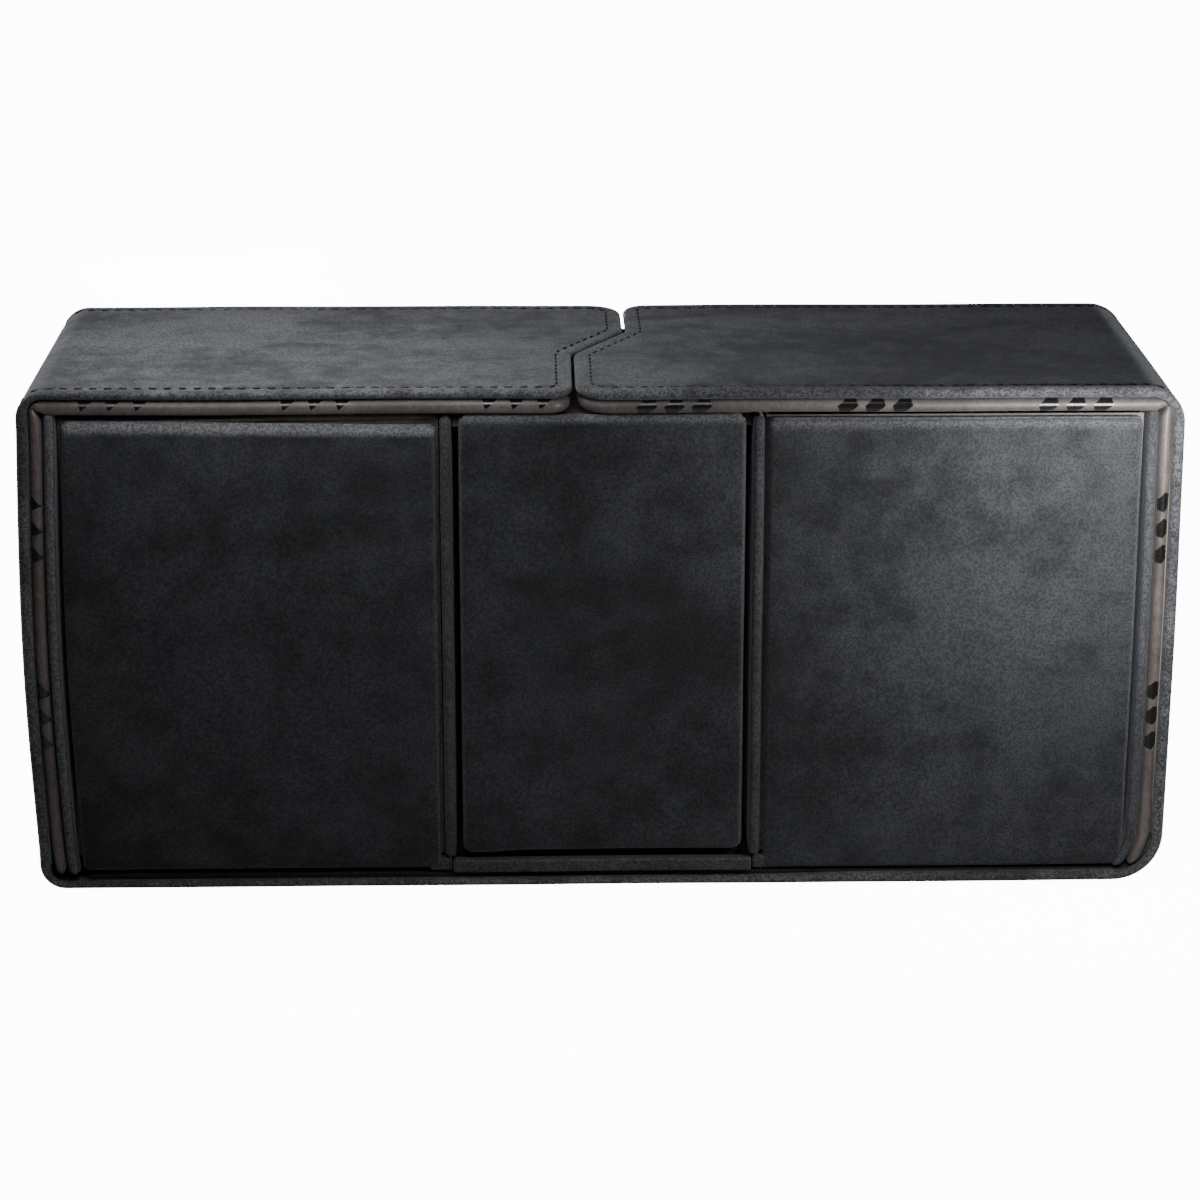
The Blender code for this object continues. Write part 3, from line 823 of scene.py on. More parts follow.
@dataclass
class SoftSlab:
    """A board wrapped in suede or lining: rounded edges, and a front face that rolls back at its rim."""

    low: Vector
    high: Vector
    rounding: float
    step: float = 6.0 * MM
    roll: float = 0.0
    top_roll: float = 0.0
    roll_reach: float = 3.0 * MM
    crown: float = 0.0
    # paleness painted as a highlight where light catches the rolled top, and on the rounded front ridge
    top_wear: float = 0.0
    ridge_wear: float = 0.0
    corner: float = 0.0
    droop: float = 0.0
    top_droop: float = 0.0
    droop_width: float = 13.0 * MM
    droop_height: float = 14.0 * MM
    top_droop_height: float = 10.0 * MM
    side_wear_reach: float = 1.6 * MM
    ridge_wear_reach: float = 0.9 * MM

    @classmethod
    def of_nodes(cls, *nodes: str, **options: float) -> "SoftSlab":
        """A slab in the box that CAD nodes fill together."""
        boxes = [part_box(node) for node in nodes]
        low = Vector([min(box[0][axis] for box in boxes) for axis in range(3)])
        high = Vector([max(box[1][axis] for box in boxes) for axis in range(3)])
        return cls(low, high, **options)

    def _lines(self, axis: int, radius: float) -> list[float]:
        """Places along an axis where the surface has vertices: close together at the edges."""
        low, high = self.low[axis], self.high[axis]
        near = [radius * (1 - math.tan(math.radians(angle))) for angle in (45, 34, 23, 11.5, 0)]
        inner = high - low - 2 * radius
        near += [radius + extra for extra in (1.0 * MM, 2.2 * MM) if inner > 8 * MM]
        count = max(1, math.ceil(inner / self.step))
        middle = [low + radius + inner * index / count for index in range(1, count)]
        lines = [low + gap for gap in near] + [high - gap for gap in near] + middle
        kept = []
        for line in sorted(lines):
            if not kept or line - kept[-1] > 0.01 * MM:
                kept.append(line)
        return kept

    def _shape(self, point: Vector, radius: float) -> Vector:
        """A point of the box's surface, moved on to the rounded and rolled surface."""
        core = Vector([min(max(point[a], self.low[a] + radius), self.high[a] - radius) for a in range(3)])
        offset = point - core
        shaped = core + offset.normalized() * radius if offset.length > 1e-9 else point.copy()
        front = (self.high.y - point.y) / (self.high.y - self.low.y)
        from_left, above, below = point.x - self.low.x, point.z - self.low.z, self.high.z - point.z
        share = from_left / (self.high.x - self.low.x)
        rise = above / (self.high.z - self.low.z)
        rolled = self.roll * max(fade(gap, self.roll_reach) ** 2
                                 for gap in (from_left, self.high.x - point.x, above))
        rolled = max(rolled, self.top_roll * fade(below, self.roll_reach) ** 2)
        crowned = self.crown * (1 - (2 * share - 1) ** 2) * (1 - (2 * rise - 1) ** 2)
        shaped.y += front * (rolled - crowned)
        self._round_corner(shaped)
        hang = fade(above, self.droop_height) * fade(from_left, self.droop_width)
        shaped.z -= self.droop * hang * (2 - hang)
        shaped.z -= self.top_droop * clamp((share - 0.25) / 0.65) * fade(below, self.top_droop_height)
        return shaped

    def _round_corner(self, point: Vector) -> None:
        """Draws a point near a corner of the face on to the corner's round."""
        if not self.corner:
            return
        centre_x = min(max(point.x, self.low.x + self.corner), self.high.x - self.corner)
        centre_z = min(max(point.z, self.low.z + self.corner), self.high.z - self.corner)
        over = Vector((point.x - centre_x, 0.0, point.z - centre_z))
        if over.length > 1e-9:
            over *= max(abs(over.x), abs(over.z)) / over.length
            point.x, point.z = centre_x + over.x, centre_z + over.z

    def _edge_value(self, point: Vector, gap: float) -> float:
        """How pale a point is painted, from 0 to 1: rubbed at the edges, and painted highlight on a rolled
        top or on a front ridge.
        """
        if self.ridge_wear:
            return self.ridge_wear * fade(point.y - self.low.y, self.ridge_wear_reach)
        top = clamp(1.5 * fade(self.high.z - point.z, 0.95 * self.roll_reach))
        return max(0.5 * fade(gap, self.side_wear_reach), self.top_wear * top)

    def add_to(self, mesh: bmesh.types.BMesh) -> None:
        """Adds the slab's closed surface to a mesh."""
        layer = edge_layer(mesh)
        radius = min(self.rounding, 0.499 * min(self.high - self.low))
        lines = [self._lines(axis, radius) for axis in range(3)]
        known: dict[tuple[int, ...], bmesh.types.BMVert] = {}

        def vertex(place: tuple[int, ...]) -> bmesh.types.BMVert:
            """The vertex at a place in the lattice, made on first use."""
            if place not in known:
                point = Vector([lines[axis][place[axis]] for axis in range(3)])
                gaps = sorted(min(point[a] - self.low[a], self.high[a] - point[a]) for a in range(3))
                known[place] = mesh.verts.new(self._shape(point, radius))
                known[place][layer] = self._edge_value(point, gaps[1])
            return known[place]

        for axis in range(3):
            first, second = [other for other in range(3) if other != axis]
            for level in (0, len(lines[axis]) - 1):
                for i in range(len(lines[first]) - 1):
                    for j in range(len(lines[second]) - 1):
                        corners = []
                        for di, dj in ((0, 0), (1, 0), (1, 1), (0, 1)):
                            place = [0, 0, 0]
                            place[axis], place[first], place[second] = level, i + di, j + dj
                            corners.append(vertex(tuple(place)))
                        mesh.faces.new(corners)

    def build(self, name: str, material: bpy.types.Material, *extra: "SoftSlab",
              hand: Hand = HAND) -> bpy.types.Object:
        """Makes the slab's object, with any extra slabs in the same piece."""
        mesh = bmesh.new()
        for slab in (self, *extra):
            slab.add_to(mesh)
        return make_object(name, mesh, material, smooth_angle=60.0, hand=hand)


# ---------------------------------------------------------------- cover


@dataclass
class CoverSizes:
    """The cover's sizes, read from the frame."""

    half_depth: float = 0.0
    thickness: float = 0.0
    outer_x: float = 0.0
    bend_x: float = 0.0
    top: float = 0.0
    upper_bend_z: float = 0.0
    lower_bend_z: float = 0.0
    groove_place: float = 3.3 * MM
    groove_depth: float = 0.34 * MM
    bend_squeeze: float = 0.78
    thicken_start: float = 20.0 * MM
    thicken_run: float = 45.0 * MM

    def __post_init__(self) -> None:
        """Reads the frame's boxes."""
        flap_low, flap_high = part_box("right_flap_cover")
        hinge_low, hinge_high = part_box("right_top_hinge")
        self.half_depth = flap_high.y
        self.thickness = flap_high.z - flap_low.z
        self.outer_x = hinge_high.x
        self.bend_x = hinge_low.x
        self.top = hinge_high.z
        self.upper_bend_z = hinge_low.z
        self.lower_bend_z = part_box("right_base_hinge")[1].z

    def flat_end(self, radius: float) -> float:
        """How far out a level run goes before a fold of a radius."""
        return min(self.bend_x, self.outer_x - radius)

    @property
    def split_reach(self) -> float:
        """How far out a flap's outline goes, to be cut off at its fold."""
        return self.bend_x + 12.0 * MM

    @property
    def edge(self) -> EdgeProfile:
        """The profile of the cover's edges."""
        return rolled_edge(self.thickness, self.groove_depth, self.groove_place)

    @property
    def stitch_height(self) -> float:
        """Height of the stitching over the cover's inner face."""
        return self.thickness - self.groove_depth + 0.05 * MM

    def base_station(self, x: float) -> Station:
        """A place under the base, where the cover is thicker towards the right."""
        share = ease(clamp((x - self.thicken_start) / self.thicken_run))
        squeeze = BASE_SQUEEZE[Side.LEFT] + (BASE_SQUEEZE[Side.RIGHT] - BASE_SQUEEZE[Side.LEFT]) * share
        return Station(x, 0.0, 0.0, -1.0, squeeze)

    def bend(self, side: Side, upper: bool, radius: float, steps: int = 12) -> list[Station]:
        """Stations round a fold of the cover, from the level run to the upright one.

        Args:
            side: the side of the box.
            upper: the fold at the top, or the one at the base.
            radius: the fold's outer radius.
            steps: the number of steps round it.

        Returns:
            The stations, with the straight ends that fill the hinge's square.
        """
        sign = side.value
        level, turn = (self.top, 1) if upper else (0.0, -1)
        upright_end = min(self.upper_bend_z, self.top - radius) if upper else max(self.lower_bend_z, radius)
        level_end = self.flat_end(radius)
        centre_x = self.outer_x - radius
        centre_z = level - turn * radius
        level_squeeze = (FLAP_SQUEEZE if upper else BASE_SQUEEZE)[side]
        stations = [Station(sign * level_end, level, 0, turn, level_squeeze)]
        if centre_x - level_end > WELD:
            stations.append(Station(sign * (level_end + centre_x) / 2, level, 0, turn, level_squeeze))
        for step in range(steps + 1):
            angle = math.pi / 2 * (1 - step / steps)
            out_x, out_z = sign * math.cos(angle), turn * math.sin(angle)
            fold = math.sin(2 * angle) ** 0.7 if 0 < step < steps else 0.0
            flat = 1.0 + (level_squeeze - 1.0) * (angle / (math.pi / 2))
            squeeze = flat * (1 - (1 - self.bend_squeeze) * fold)
            stations.append(Station(sign * centre_x + radius * out_x, centre_z + radius * out_z,
                                    out_x, out_z, squeeze))
        if abs(upright_end - centre_z) > WELD:
            stations.append(Station(sign * self.outer_x, upright_end, sign, 0))
        kept = [stations[0]]
        for station in stations[1:]:
            if math.dist((station.x, station.z), (kept[-1].x, kept[-1].z)) > WELD:
                kept.append(station)
        return kept

    def side_run(self, side: Side, step: float = 5.0 * MM) -> list[Station]:
        """Stations down a side panel, from its upper fold to its lower one."""
        top = min(self.upper_bend_z, self.top - UPPER_BEND_RADIUS[side])
        drop = top - max(self.lower_bend_z, LOWER_BEND_RADIUS[side])
        count = round(drop / step)
        return [Station(side.value * self.outer_x, top - drop * index / count, side.value, 0)
                for index in range(count + 1)]


UPPER_BEND_RADIUS = by_side(6.0 * MM, 8.0 * MM)
LOWER_BEND_RADIUS = by_side(5.5 * MM, 10.5 * MM)
FLAP_SQUEEZE = by_side(0.80, 0.96)  # how thin the cover is pressed over each flap
BASE_SQUEEZE = by_side(0.62, 0.90)  # and under the base


@dataclass(frozen=True)
class FlapSplit:
    """The zig-zag line where the two flaps meet."""

    offset: float = 5.7 * MM
    gap: float = 0.6 * MM
    middle_y: float = 3.0 * MM
    run: float = 20.5 * MM
    nose_radius: float = 7.5 * MM
    shoulder_radius: float = 5.5 * MM
    bend_radius: float = 3.0 * MM

    def outline(self, side: Side, reach: float, half_depth: float) -> Outline:
        """A flap's outline, from the split out to a distance from the middle.

        Args:
            side: the side of the box.
            reach: how far out the outline goes.
            half_depth: half its depth.

        Returns:
            The outline, anticlockwise.
        """
        sign = side.value
        shift = sign * self.gap / 2
        front, back = -self.offset + shift, self.offset + shift
        radii = (self.shoulder_radius, self.nose_radius)
        front_radius, back_radius = reversed(radii) if side is Side.RIGHT else radii
        turns = [
            Turn(sign * reach, -half_depth, LEAST_RADIUS),
            Turn(front, -half_depth, front_radius),
            Turn(front, self.middle_y - self.run / 2, self.bend_radius),
            Turn(back, self.middle_y + self.run / 2, self.bend_radius),
            Turn(back, half_depth, back_radius),
            Turn(sign * reach, half_depth, LEAST_RADIUS),
        ]
        if side is Side.RIGHT:
            turns.reverse()
        return Outline(tuple(turns))


SPLIT = FlapSplit()


def blend_upper(piece: bpy.types.Object, side: Side, sizes: CoverSizes) -> None:
    """Bakes a piece's transform into its mesh."""
    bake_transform(piece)


def blend_lower(piece: bpy.types.Object, side: Side, sizes: CoverSizes) -> None:
    """Bakes a piece's transform into its mesh."""
    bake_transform(piece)


@dataclass
class FlapSkin:
    """A flap's suede with the fold that joins it to its side panel."""

    side: Side
    sizes: CoverSizes
    finishes: Finishes

    def build(self) -> bpy.types.Object:
        """Builds the skin in place of the flap's cover and its top hinge."""
        sign = self.side.value
        sizes = self.sizes
        mesh = bmesh.new()
        outline = SPLIT.outline(self.side, sizes.split_reach, sizes.half_depth)
        squeeze = FLAP_SQUEEZE[self.side]
        stack_rings(mesh, outline, sizes.edge, sizes.top - sizes.thickness * squeeze, squeeze)
        slice_mesh(mesh, Vector((sign * sizes.bend_x, 0, 0)), Vector((sign, 0, 0)), cut_off=True)
        fold = sizes.bend(self.side, True, UPPER_BEND_RADIUS[self.side])
        sweep(mesh, fold, sizes.edge, sizes.half_depth, sizes.thickness, start_cap=False)
        bmesh.ops.remove_doubles(mesh, verts=mesh.verts, dist=WELD)
        cut_depth(mesh)
        cut_width(mesh, self.side, sizes.bend_x - 4 * MM)
        piece = make_object(f"{self.side.label}_flap_skin", mesh, self.finishes.cover)
        blend_upper(piece, self.side, sizes)
        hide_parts(f"{self.side.label}_flap_cover", f"{self.side.label}_top_hinge")
        return piece


@dataclass
class SideSkin:
    """A side panel's suede with the fold that joins it to the base."""

    side: Side
    sizes: CoverSizes
    finishes: Finishes

    def build(self) -> bpy.types.Object:
        """Builds the skin in place of the side's cover and its base hinge."""
        sizes = self.sizes
        fold = sizes.bend(self.side, False, LOWER_BEND_RADIUS[self.side])
        stations = sizes.side_run(self.side) + list(reversed(fold))[1:]
        mesh = bmesh.new()
        sweep(mesh, stations, sizes.edge, sizes.half_depth, sizes.thickness)
        cut_depth(mesh)
        piece = make_object(f"{self.side.label}_side_skin", mesh, self.finishes.cover)
        blend_lower(piece, self.side, sizes)
        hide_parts(f"{self.side.label}_side_cover", f"{self.side.label}_base_hinge")
        return piece


@dataclass
class BaseSkin:
    """The suede under the box."""

    sizes: CoverSizes
    finishes: Finishes
    count: int = 38

    def build(self) -> bpy.types.Object:
        """Builds the skin on the case's body."""
        sizes = self.sizes
        start = -sizes.flat_end(LOWER_BEND_RADIUS[Side.LEFT])
        end = sizes.flat_end(LOWER_BEND_RADIUS[Side.RIGHT])
        stations = [sizes.base_station(start + (end - start) * index / self.count)
                    for index in range(self.count + 1)]
        mesh = bmesh.new()
        sweep(mesh, stations, sizes.edge, sizes.half_depth, sizes.thickness)
        cut_depth(mesh)
        piece = make_object("base_skin", mesh, self.finishes.cover)
        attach(piece, "case")
        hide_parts("base_cover")
        return piece


@dataclass
class Gutter:
    """The thin lining inside a fold of the cover."""

    side: Side
    upper: bool
    sizes: CoverSizes
    finishes: Finishes
    setback: float = 1.6 * MM
    cloth: float = 0.24 * MM

    def build(self) -> bpy.types.Object:
        """Builds the strip in place of the fold's gutter."""
        radii = UPPER_BEND_RADIUS if self.upper else LOWER_BEND_RADIUS
        stations = self.sizes.bend(self.side, self.upper, radii[self.side])
        half = self.cloth / 2
        profile = EdgeProfile(((half, -self.cloth), (0.0, -half), (half, -0.02 * MM)))
        mesh = bmesh.new()
        sweep(mesh, stations, profile, self.sizes.half_depth - self.setback, self.sizes.thickness)
        word = "top" if self.upper else "base"
        # the lower fold's lining gets the near-black painted shade
        finish = self.finishes.liner if self.upper else self.finishes.wrap
        piece = make_object(f"{self.side.label}_{word}_fold_lining", mesh, finish)
        (blend_upper if self.upper else blend_lower)(piece, self.side, self.sizes)
        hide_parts(f"{self.side.label}_{word}_gutter")
        return piece


# ---------------------------------------------------------------- padded linings


@dataclass
class LiningPads:
    """The padded linings of a side panel and its flap, which meet in a mitre at the top corner."""

    side: Side
    sizes: CoverSizes
    finishes: Finishes
    mitre_gap: float = 0.05 * MM
    crown: float = 0.32 * MM
    glue_line: float = 0.15 * MM
    end_reach: float = 1.3 * MM
    end_pinch: float = 0.42
    overrun: float = 6.0 * MM
    count: int = 22
    foot_steps: int = 5
    trim_gap: float = 0.35 * MM
    smooth_angle: float = 50.0
    foot_drop: dict[Side, float] = field(default_factory=lambda: by_side(2.1 * MM, 1.9 * MM))

    def __post_init__(self) -> None:
        """Reads the linings' boxes."""
        self.flap_low, self.flap_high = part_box(f"{self.side.label}_flap_lining")
        self.side_low, self.side_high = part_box(f"{self.side.label}_side_lining")
        sign = self.side.value
        self.inner_x = min(abs(self.side_low.x), abs(self.side_high.x))
        self.outer_x = max(abs(self.side_low.x), abs(self.side_high.x))
        self.across = Vector((sign, 0, -1)).normalized()
        self.corner = Vector((sign * self.inner_x, 0, self.flap_low.z))

    def _trim_corner(self, mesh: bmesh.types.BMesh) -> None:
        """Cuts the outer corner, so that the pad stays inside the cover's fold."""
        radius = UPPER_BEND_RADIUS[self.side]
        limit = radius - self.sizes.thickness * self.sizes.bend_squeeze - self.trim_gap
        centre = Vector((self.side.value * (self.sizes.outer_x - radius), 0, self.sizes.top - radius))
        for angle in (math.radians(22.5), math.radians(45), math.radians(67.5)):
            out = Vector((self.side.value * math.cos(angle), 0, math.sin(angle)))
            slice_mesh(mesh, centre + out * limit, out, cut_off=True)
            cap_holes(mesh)

    def _mitre(self, mesh: bmesh.types.BMesh, way: int) -> None:
        """Cuts a pad on the mitre and draws its end in, so that the two ends make a soft crease.

        Args:
            mesh: the pad.
            way: 1 for the flap's pad, above the mitre, and -1 for the side panel's.
        """
        normal = self.across * way
        face = self.corner - normal * self.mitre_gap
        slice_mesh(mesh, face, normal, cut_off=True)
        cap_holes(mesh)
        for gap in (0.15, 0.35, 0.65, 1.0):
            slice_mesh(mesh, face - normal * (gap * self.end_reach), normal)
        centre_z = (self.flap_low.z + self.flap_high.z) / 2
        centre_x = self.side.value * (self.inner_x + self.outer_x) / 2
        edge_y = self.flap_high.y - (self.flap_high.z - self.flap_low.z) / 2
        for vertex in mesh.verts:
            gap = (face - vertex.co).dot(normal) / self.end_reach
            if gap < 1:
                keep = 1 - self.end_pinch * (1 - max(gap, 0.0)) ** 2
                if way > 0:
                    vertex.co.z = centre_z + (vertex.co.z - centre_z) * keep
                else:
                    vertex.co.x = centre_x + (vertex.co.x - centre_x) * keep
                if abs(vertex.co.y) > edge_y:
                    vertex.co.y = math.copysign(edge_y + (abs(vertex.co.y) - edge_y) * keep, vertex.co.y)

    def build_flap_pad(self) -> bpy.types.Object:
        """Builds the flap's padded lining."""
        squeeze = FLAP_SQUEEZE[self.side]
        thickness = self.sizes.top - self.sizes.thickness * squeeze - self.glue_line - self.flap_low.z
        setback = self.sizes.half_depth - self.flap_high.y
        outline = SPLIT.outline(self.side, self.outer_x + self.overrun, self.sizes.half_depth).inset(setback)
        mesh = bmesh.new()
        stack_rings(mesh, outline, full_round_edge(thickness, self.crown), self.flap_low.z)
        self._mitre(mesh, 1)
        self._trim_corner(mesh)
        cut_depth(mesh, 8 * MM)
        cut_width(mesh, self.side, 108 * MM, 8 * MM)
        piece = make_object(f"{self.side.label}_flap_pad", mesh, self.finishes.flap_lining[self.side],
                            self.smooth_angle)
        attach(piece, f"{self.side.label}_flap")
        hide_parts(f"{self.side.label}_flap_lining")
        return piece

    def build_side_pad(self) -> bpy.types.Object:
        """Builds the side panel's padded lining."""
        sign = self.side.value
        thickness = self.outer_x - self.inner_x
        bottom = self.side_low.z - self.foot_drop[self.side]
        top = self.flap_high.z + 2 * MM
        run = top - bottom - thickness
        mesh = bmesh.new()
        stations = [Station(sign * self.outer_x, top - run * index / self.count, sign, 0)
                    for index in range(self.count + 1)]
        profile = full_round_edge(thickness, self.crown)
        sweep(mesh, stations, profile, self.side_high.y, thickness, end_cap=False)
        self._round_foot(mesh, bottom, thickness)
        bmesh.ops.remove_doubles(mesh, verts=mesh.verts, dist=WELD)
        self._mitre(mesh, -1)
        self._trim_corner(mesh)
        piece = make_object(f"{self.side.label}_side_pad", mesh, self.finishes.side_lining[self.side],
                            self.smooth_angle, CURLED)
        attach(piece, f"{self.side.label}_wing")
        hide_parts(f"{self.side.label}_side_lining")
        return piece

    def _round_foot(self, mesh: bmesh.types.BMesh, bottom: float, thickness: float) -> None:
        """Ends the side pad in a round foot."""
        sign = self.side.value
        section = full_round_edge(thickness, self.crown).section(self.side_high.y)
        layer = edge_layer(mesh)
        centre = thickness / 2
        rows = []
        for step in range(self.foot_steps + 1):
            angle = math.pi / 2 * step / self.foot_steps * 0.96
            scale = math.cos(angle)
            station = Station(sign * self.outer_x, bottom + thickness * (1 - math.sin(angle)), sign, 0)
            row = []
            for y, height in section:
                over = max(abs(y) - (self.side_high.y - centre), 0.0)
                side_y = math.copysign(abs(y) - over * (1 - scale), y)
                vertex = mesh.verts.new(station.place(side_y, centre + (height - centre) * scale, thickness))
                vertex[layer] = 0.6
                row.append(vertex)
            rows.append(row)
        for first, second in zip(rows, rows[1:]):
            bridge(mesh, first, second)
        mesh.faces.new(rows[-1])

    def build(self) -> list[bpy.types.Object]:
        """Builds both pads."""
        return [self.build_flap_pad(), self.build_side_pad()]


# ---------------------------------------------------------------- stitching


@dataclass(frozen=True)
class StitchTree:
    """Geometry nodes that lay thread ovals along a line of edges."""

    pitch: float = 3.0 * MM
    length: float = 1.75 * MM
    thickness: float = 0.45 * MM

    def tree(self) -> bpy.types.NodeTree:
        """Builds the tree with its named inputs.

        Returns:
            The geometry node tree.
        """
        tree = bpy.data.node_groups.new("running_stitch", "GeometryNodeTree")
        tree.interface.new_socket("Geometry", in_out="INPUT", socket_type="NodeSocketGeometry")
        for label in ("Pitch", "Length", "Thickness"):
            tree.interface.new_socket(label, in_out="INPUT", socket_type="NodeSocketFloat")
        tree.interface.new_socket("Thread", in_out="INPUT", socket_type="NodeSocketMaterial")
        tree.interface.new_socket("Geometry", in_out="OUTPUT", socket_type="NodeSocketGeometry")
        nodes = NodeTree(tree)
        given = tree.nodes.new("NodeGroupInput").outputs
        line = nodes.add("GeometryNodeMeshToCurve", Mesh=given["Geometry"])
        even = nodes.add("GeometryNodeResampleCurve", mode="LENGTH", Curve=line.outputs[0],
                         Length=given["Pitch"])
        tangent = nodes.add("GeometryNodeInputTangent")
        turn = nodes.add("FunctionNodeAlignRotationToVector", axis="X", Vector=tangent.outputs[0])
        oval = nodes.add("GeometryNodeMeshUVSphere", Segments=6, Rings=4, Radius=0.5)
        thickness = given["Thickness"]
        size = nodes.add("ShaderNodeCombineXYZ", X=given["Length"], Y=thickness, Z=thickness)
        laid = nodes.add("GeometryNodeInstanceOnPoints", Points=even.outputs[0], Instance=oval.outputs[0],
                         Rotation=turn.outputs[0], Scale=size.outputs[0])
        real = nodes.add("GeometryNodeRealizeInstances", Geometry=laid.outputs[0])
        smooth = nodes.add("GeometryNodeSetShadeSmooth", Geometry=real.outputs[0])
        dressed = nodes.add("GeometryNodeSetMaterial", Geometry=smooth.outputs[0], Material=given["Thread"])
        end = tree.nodes.new("NodeGroupOutput")
        nodes.feed(end.inputs[0], dressed.outputs[0])
        return tree


@dataclass
class Stitching:
    """The dark stitching along the cover's edges."""

    sizes: CoverSizes
    finishes: Finishes
    settings: StitchTree = field(default_factory=StitchTree)
    flap_rise: dict[Side, float] = field(default_factory=lambda: by_side(0.14 * MM, 0.05 * MM))

    def __post_init__(self) -> None:
        """Builds the node tree that every row shares."""
        self.tree = self.settings.tree()

    def _lay(self, name: str, lines: Sequence[Sequence[Vector]]) -> bpy.types.Object:
        """Lays stitches along lines and returns them as a plain mesh object.

        Args:
            name: the new object's name.
            lines: the rows' points.

        Returns:
            The stitches.
        """
        mesh = bmesh.new()
        for line in lines:
            row = [mesh.verts.new(point + HAND.shift(point)) for point in line]
            for first, second in zip(row, row[1:]):
                mesh.edges.new((first, second))
        data = bpy.data.meshes.new(name + "_line")
        mesh.to_mesh(data)
        mesh.free()
        carrier = bpy.data.objects.new(name + "_line", data)
        bpy.context.scene.collection.objects.link(carrier)
        modifier = carrier.modifiers.new("stitches", "NODES")
        modifier.node_group = self.tree
        values = {"Pitch": self.settings.pitch, "Length": self.settings.length,
                  "Thickness": self.settings.thickness, "Thread": self.finishes.thread}
        for socket in self.tree.interface.items_tree:
            if socket.in_out == "INPUT" and socket.name in values:
                modifier[socket.identifier] = values[socket.name]
        evaluated = carrier.evaluated_get(bpy.context.evaluated_depsgraph_get())
        result = bpy.data.meshes.new_from_object(evaluated)
        bpy.data.objects.remove(carrier)
        result.name = name
        piece = bpy.data.objects.new(name, result)
        bpy.context.scene.collection.objects.link(piece)
        return piece

    def _edge_rows(self, stations: Sequence[Station]) -> list[list[Vector]]:
        """The front and back rows of stitches along stations."""
        sizes = self.sizes
        y = sizes.half_depth - sizes.groove_place
        return [[station.place(sign * y, sizes.stitch_height, sizes.thickness) for station in stations]
                for sign in (-1, 1)]

    def flap(self, side: Side) -> bpy.types.Object:
        """The stitches round a flap, with those over its fold."""
        sizes = self.sizes
        outline = SPLIT.outline(side, sizes.split_reach, sizes.half_depth).inset(sizes.groove_place)
        z = sizes.top - (sizes.thickness - sizes.stitch_height) * FLAP_SQUEEZE[side] + self.flap_rise[side]
        inside = [point for point in outline.points() if abs(point.x) < sizes.bend_x]
        if side is Side.RIGHT:
            inside.reverse()
        fold = [station.place(0, sizes.stitch_height + self.flap_rise[side], sizes.thickness)
                for station in sizes.bend(side, True, UPPER_BEND_RADIUS[side])]
        y = sizes.half_depth - sizes.groove_place
        front = [Vector((place.x, -y, place.z)) for place in reversed(fold)]
        back = [Vector((place.x, y, place.z)) for place in fold]
        split = [Vector((point.x, point.y, z)) for point in inside]
        piece = self._lay(f"{side.label}_flap_stitches", [front + split + back])
        blend_upper(piece, side, sizes)
        return piece

    def side(self, side: Side) -> bpy.types.Object:
        """The stitches down a side panel and round its lower fold."""
        fold = self.sizes.bend(side, False, LOWER_BEND_RADIUS[side])
        stations = self.sizes.side_run(side) + list(reversed(fold))[1:]
        piece = self._lay(f"{side.label}_side_stitches", self._edge_rows(stations))
        blend_lower(piece, side, self.sizes)
        return piece

    def base(self) -> bpy.types.Object:
        """The stitches under the base."""
        reach = self.sizes.bend_x - 4.5 * MM
        stations = [self.sizes.base_station(reach * (index / 8 - 1)) for index in range(17)]
        piece = self._lay("base_stitches", self._edge_rows(stations))
        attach(piece, "case")
        return piece


# ---------------------------------------------------------------- inner case


@dataclass(frozen=True)
class Lip:
    """The sizes of the lining's rolled lip over a front wall."""

    rise: float
    sink: float
    radius: float = 0.62 * MM
    count: int = 26
    around: int = 10


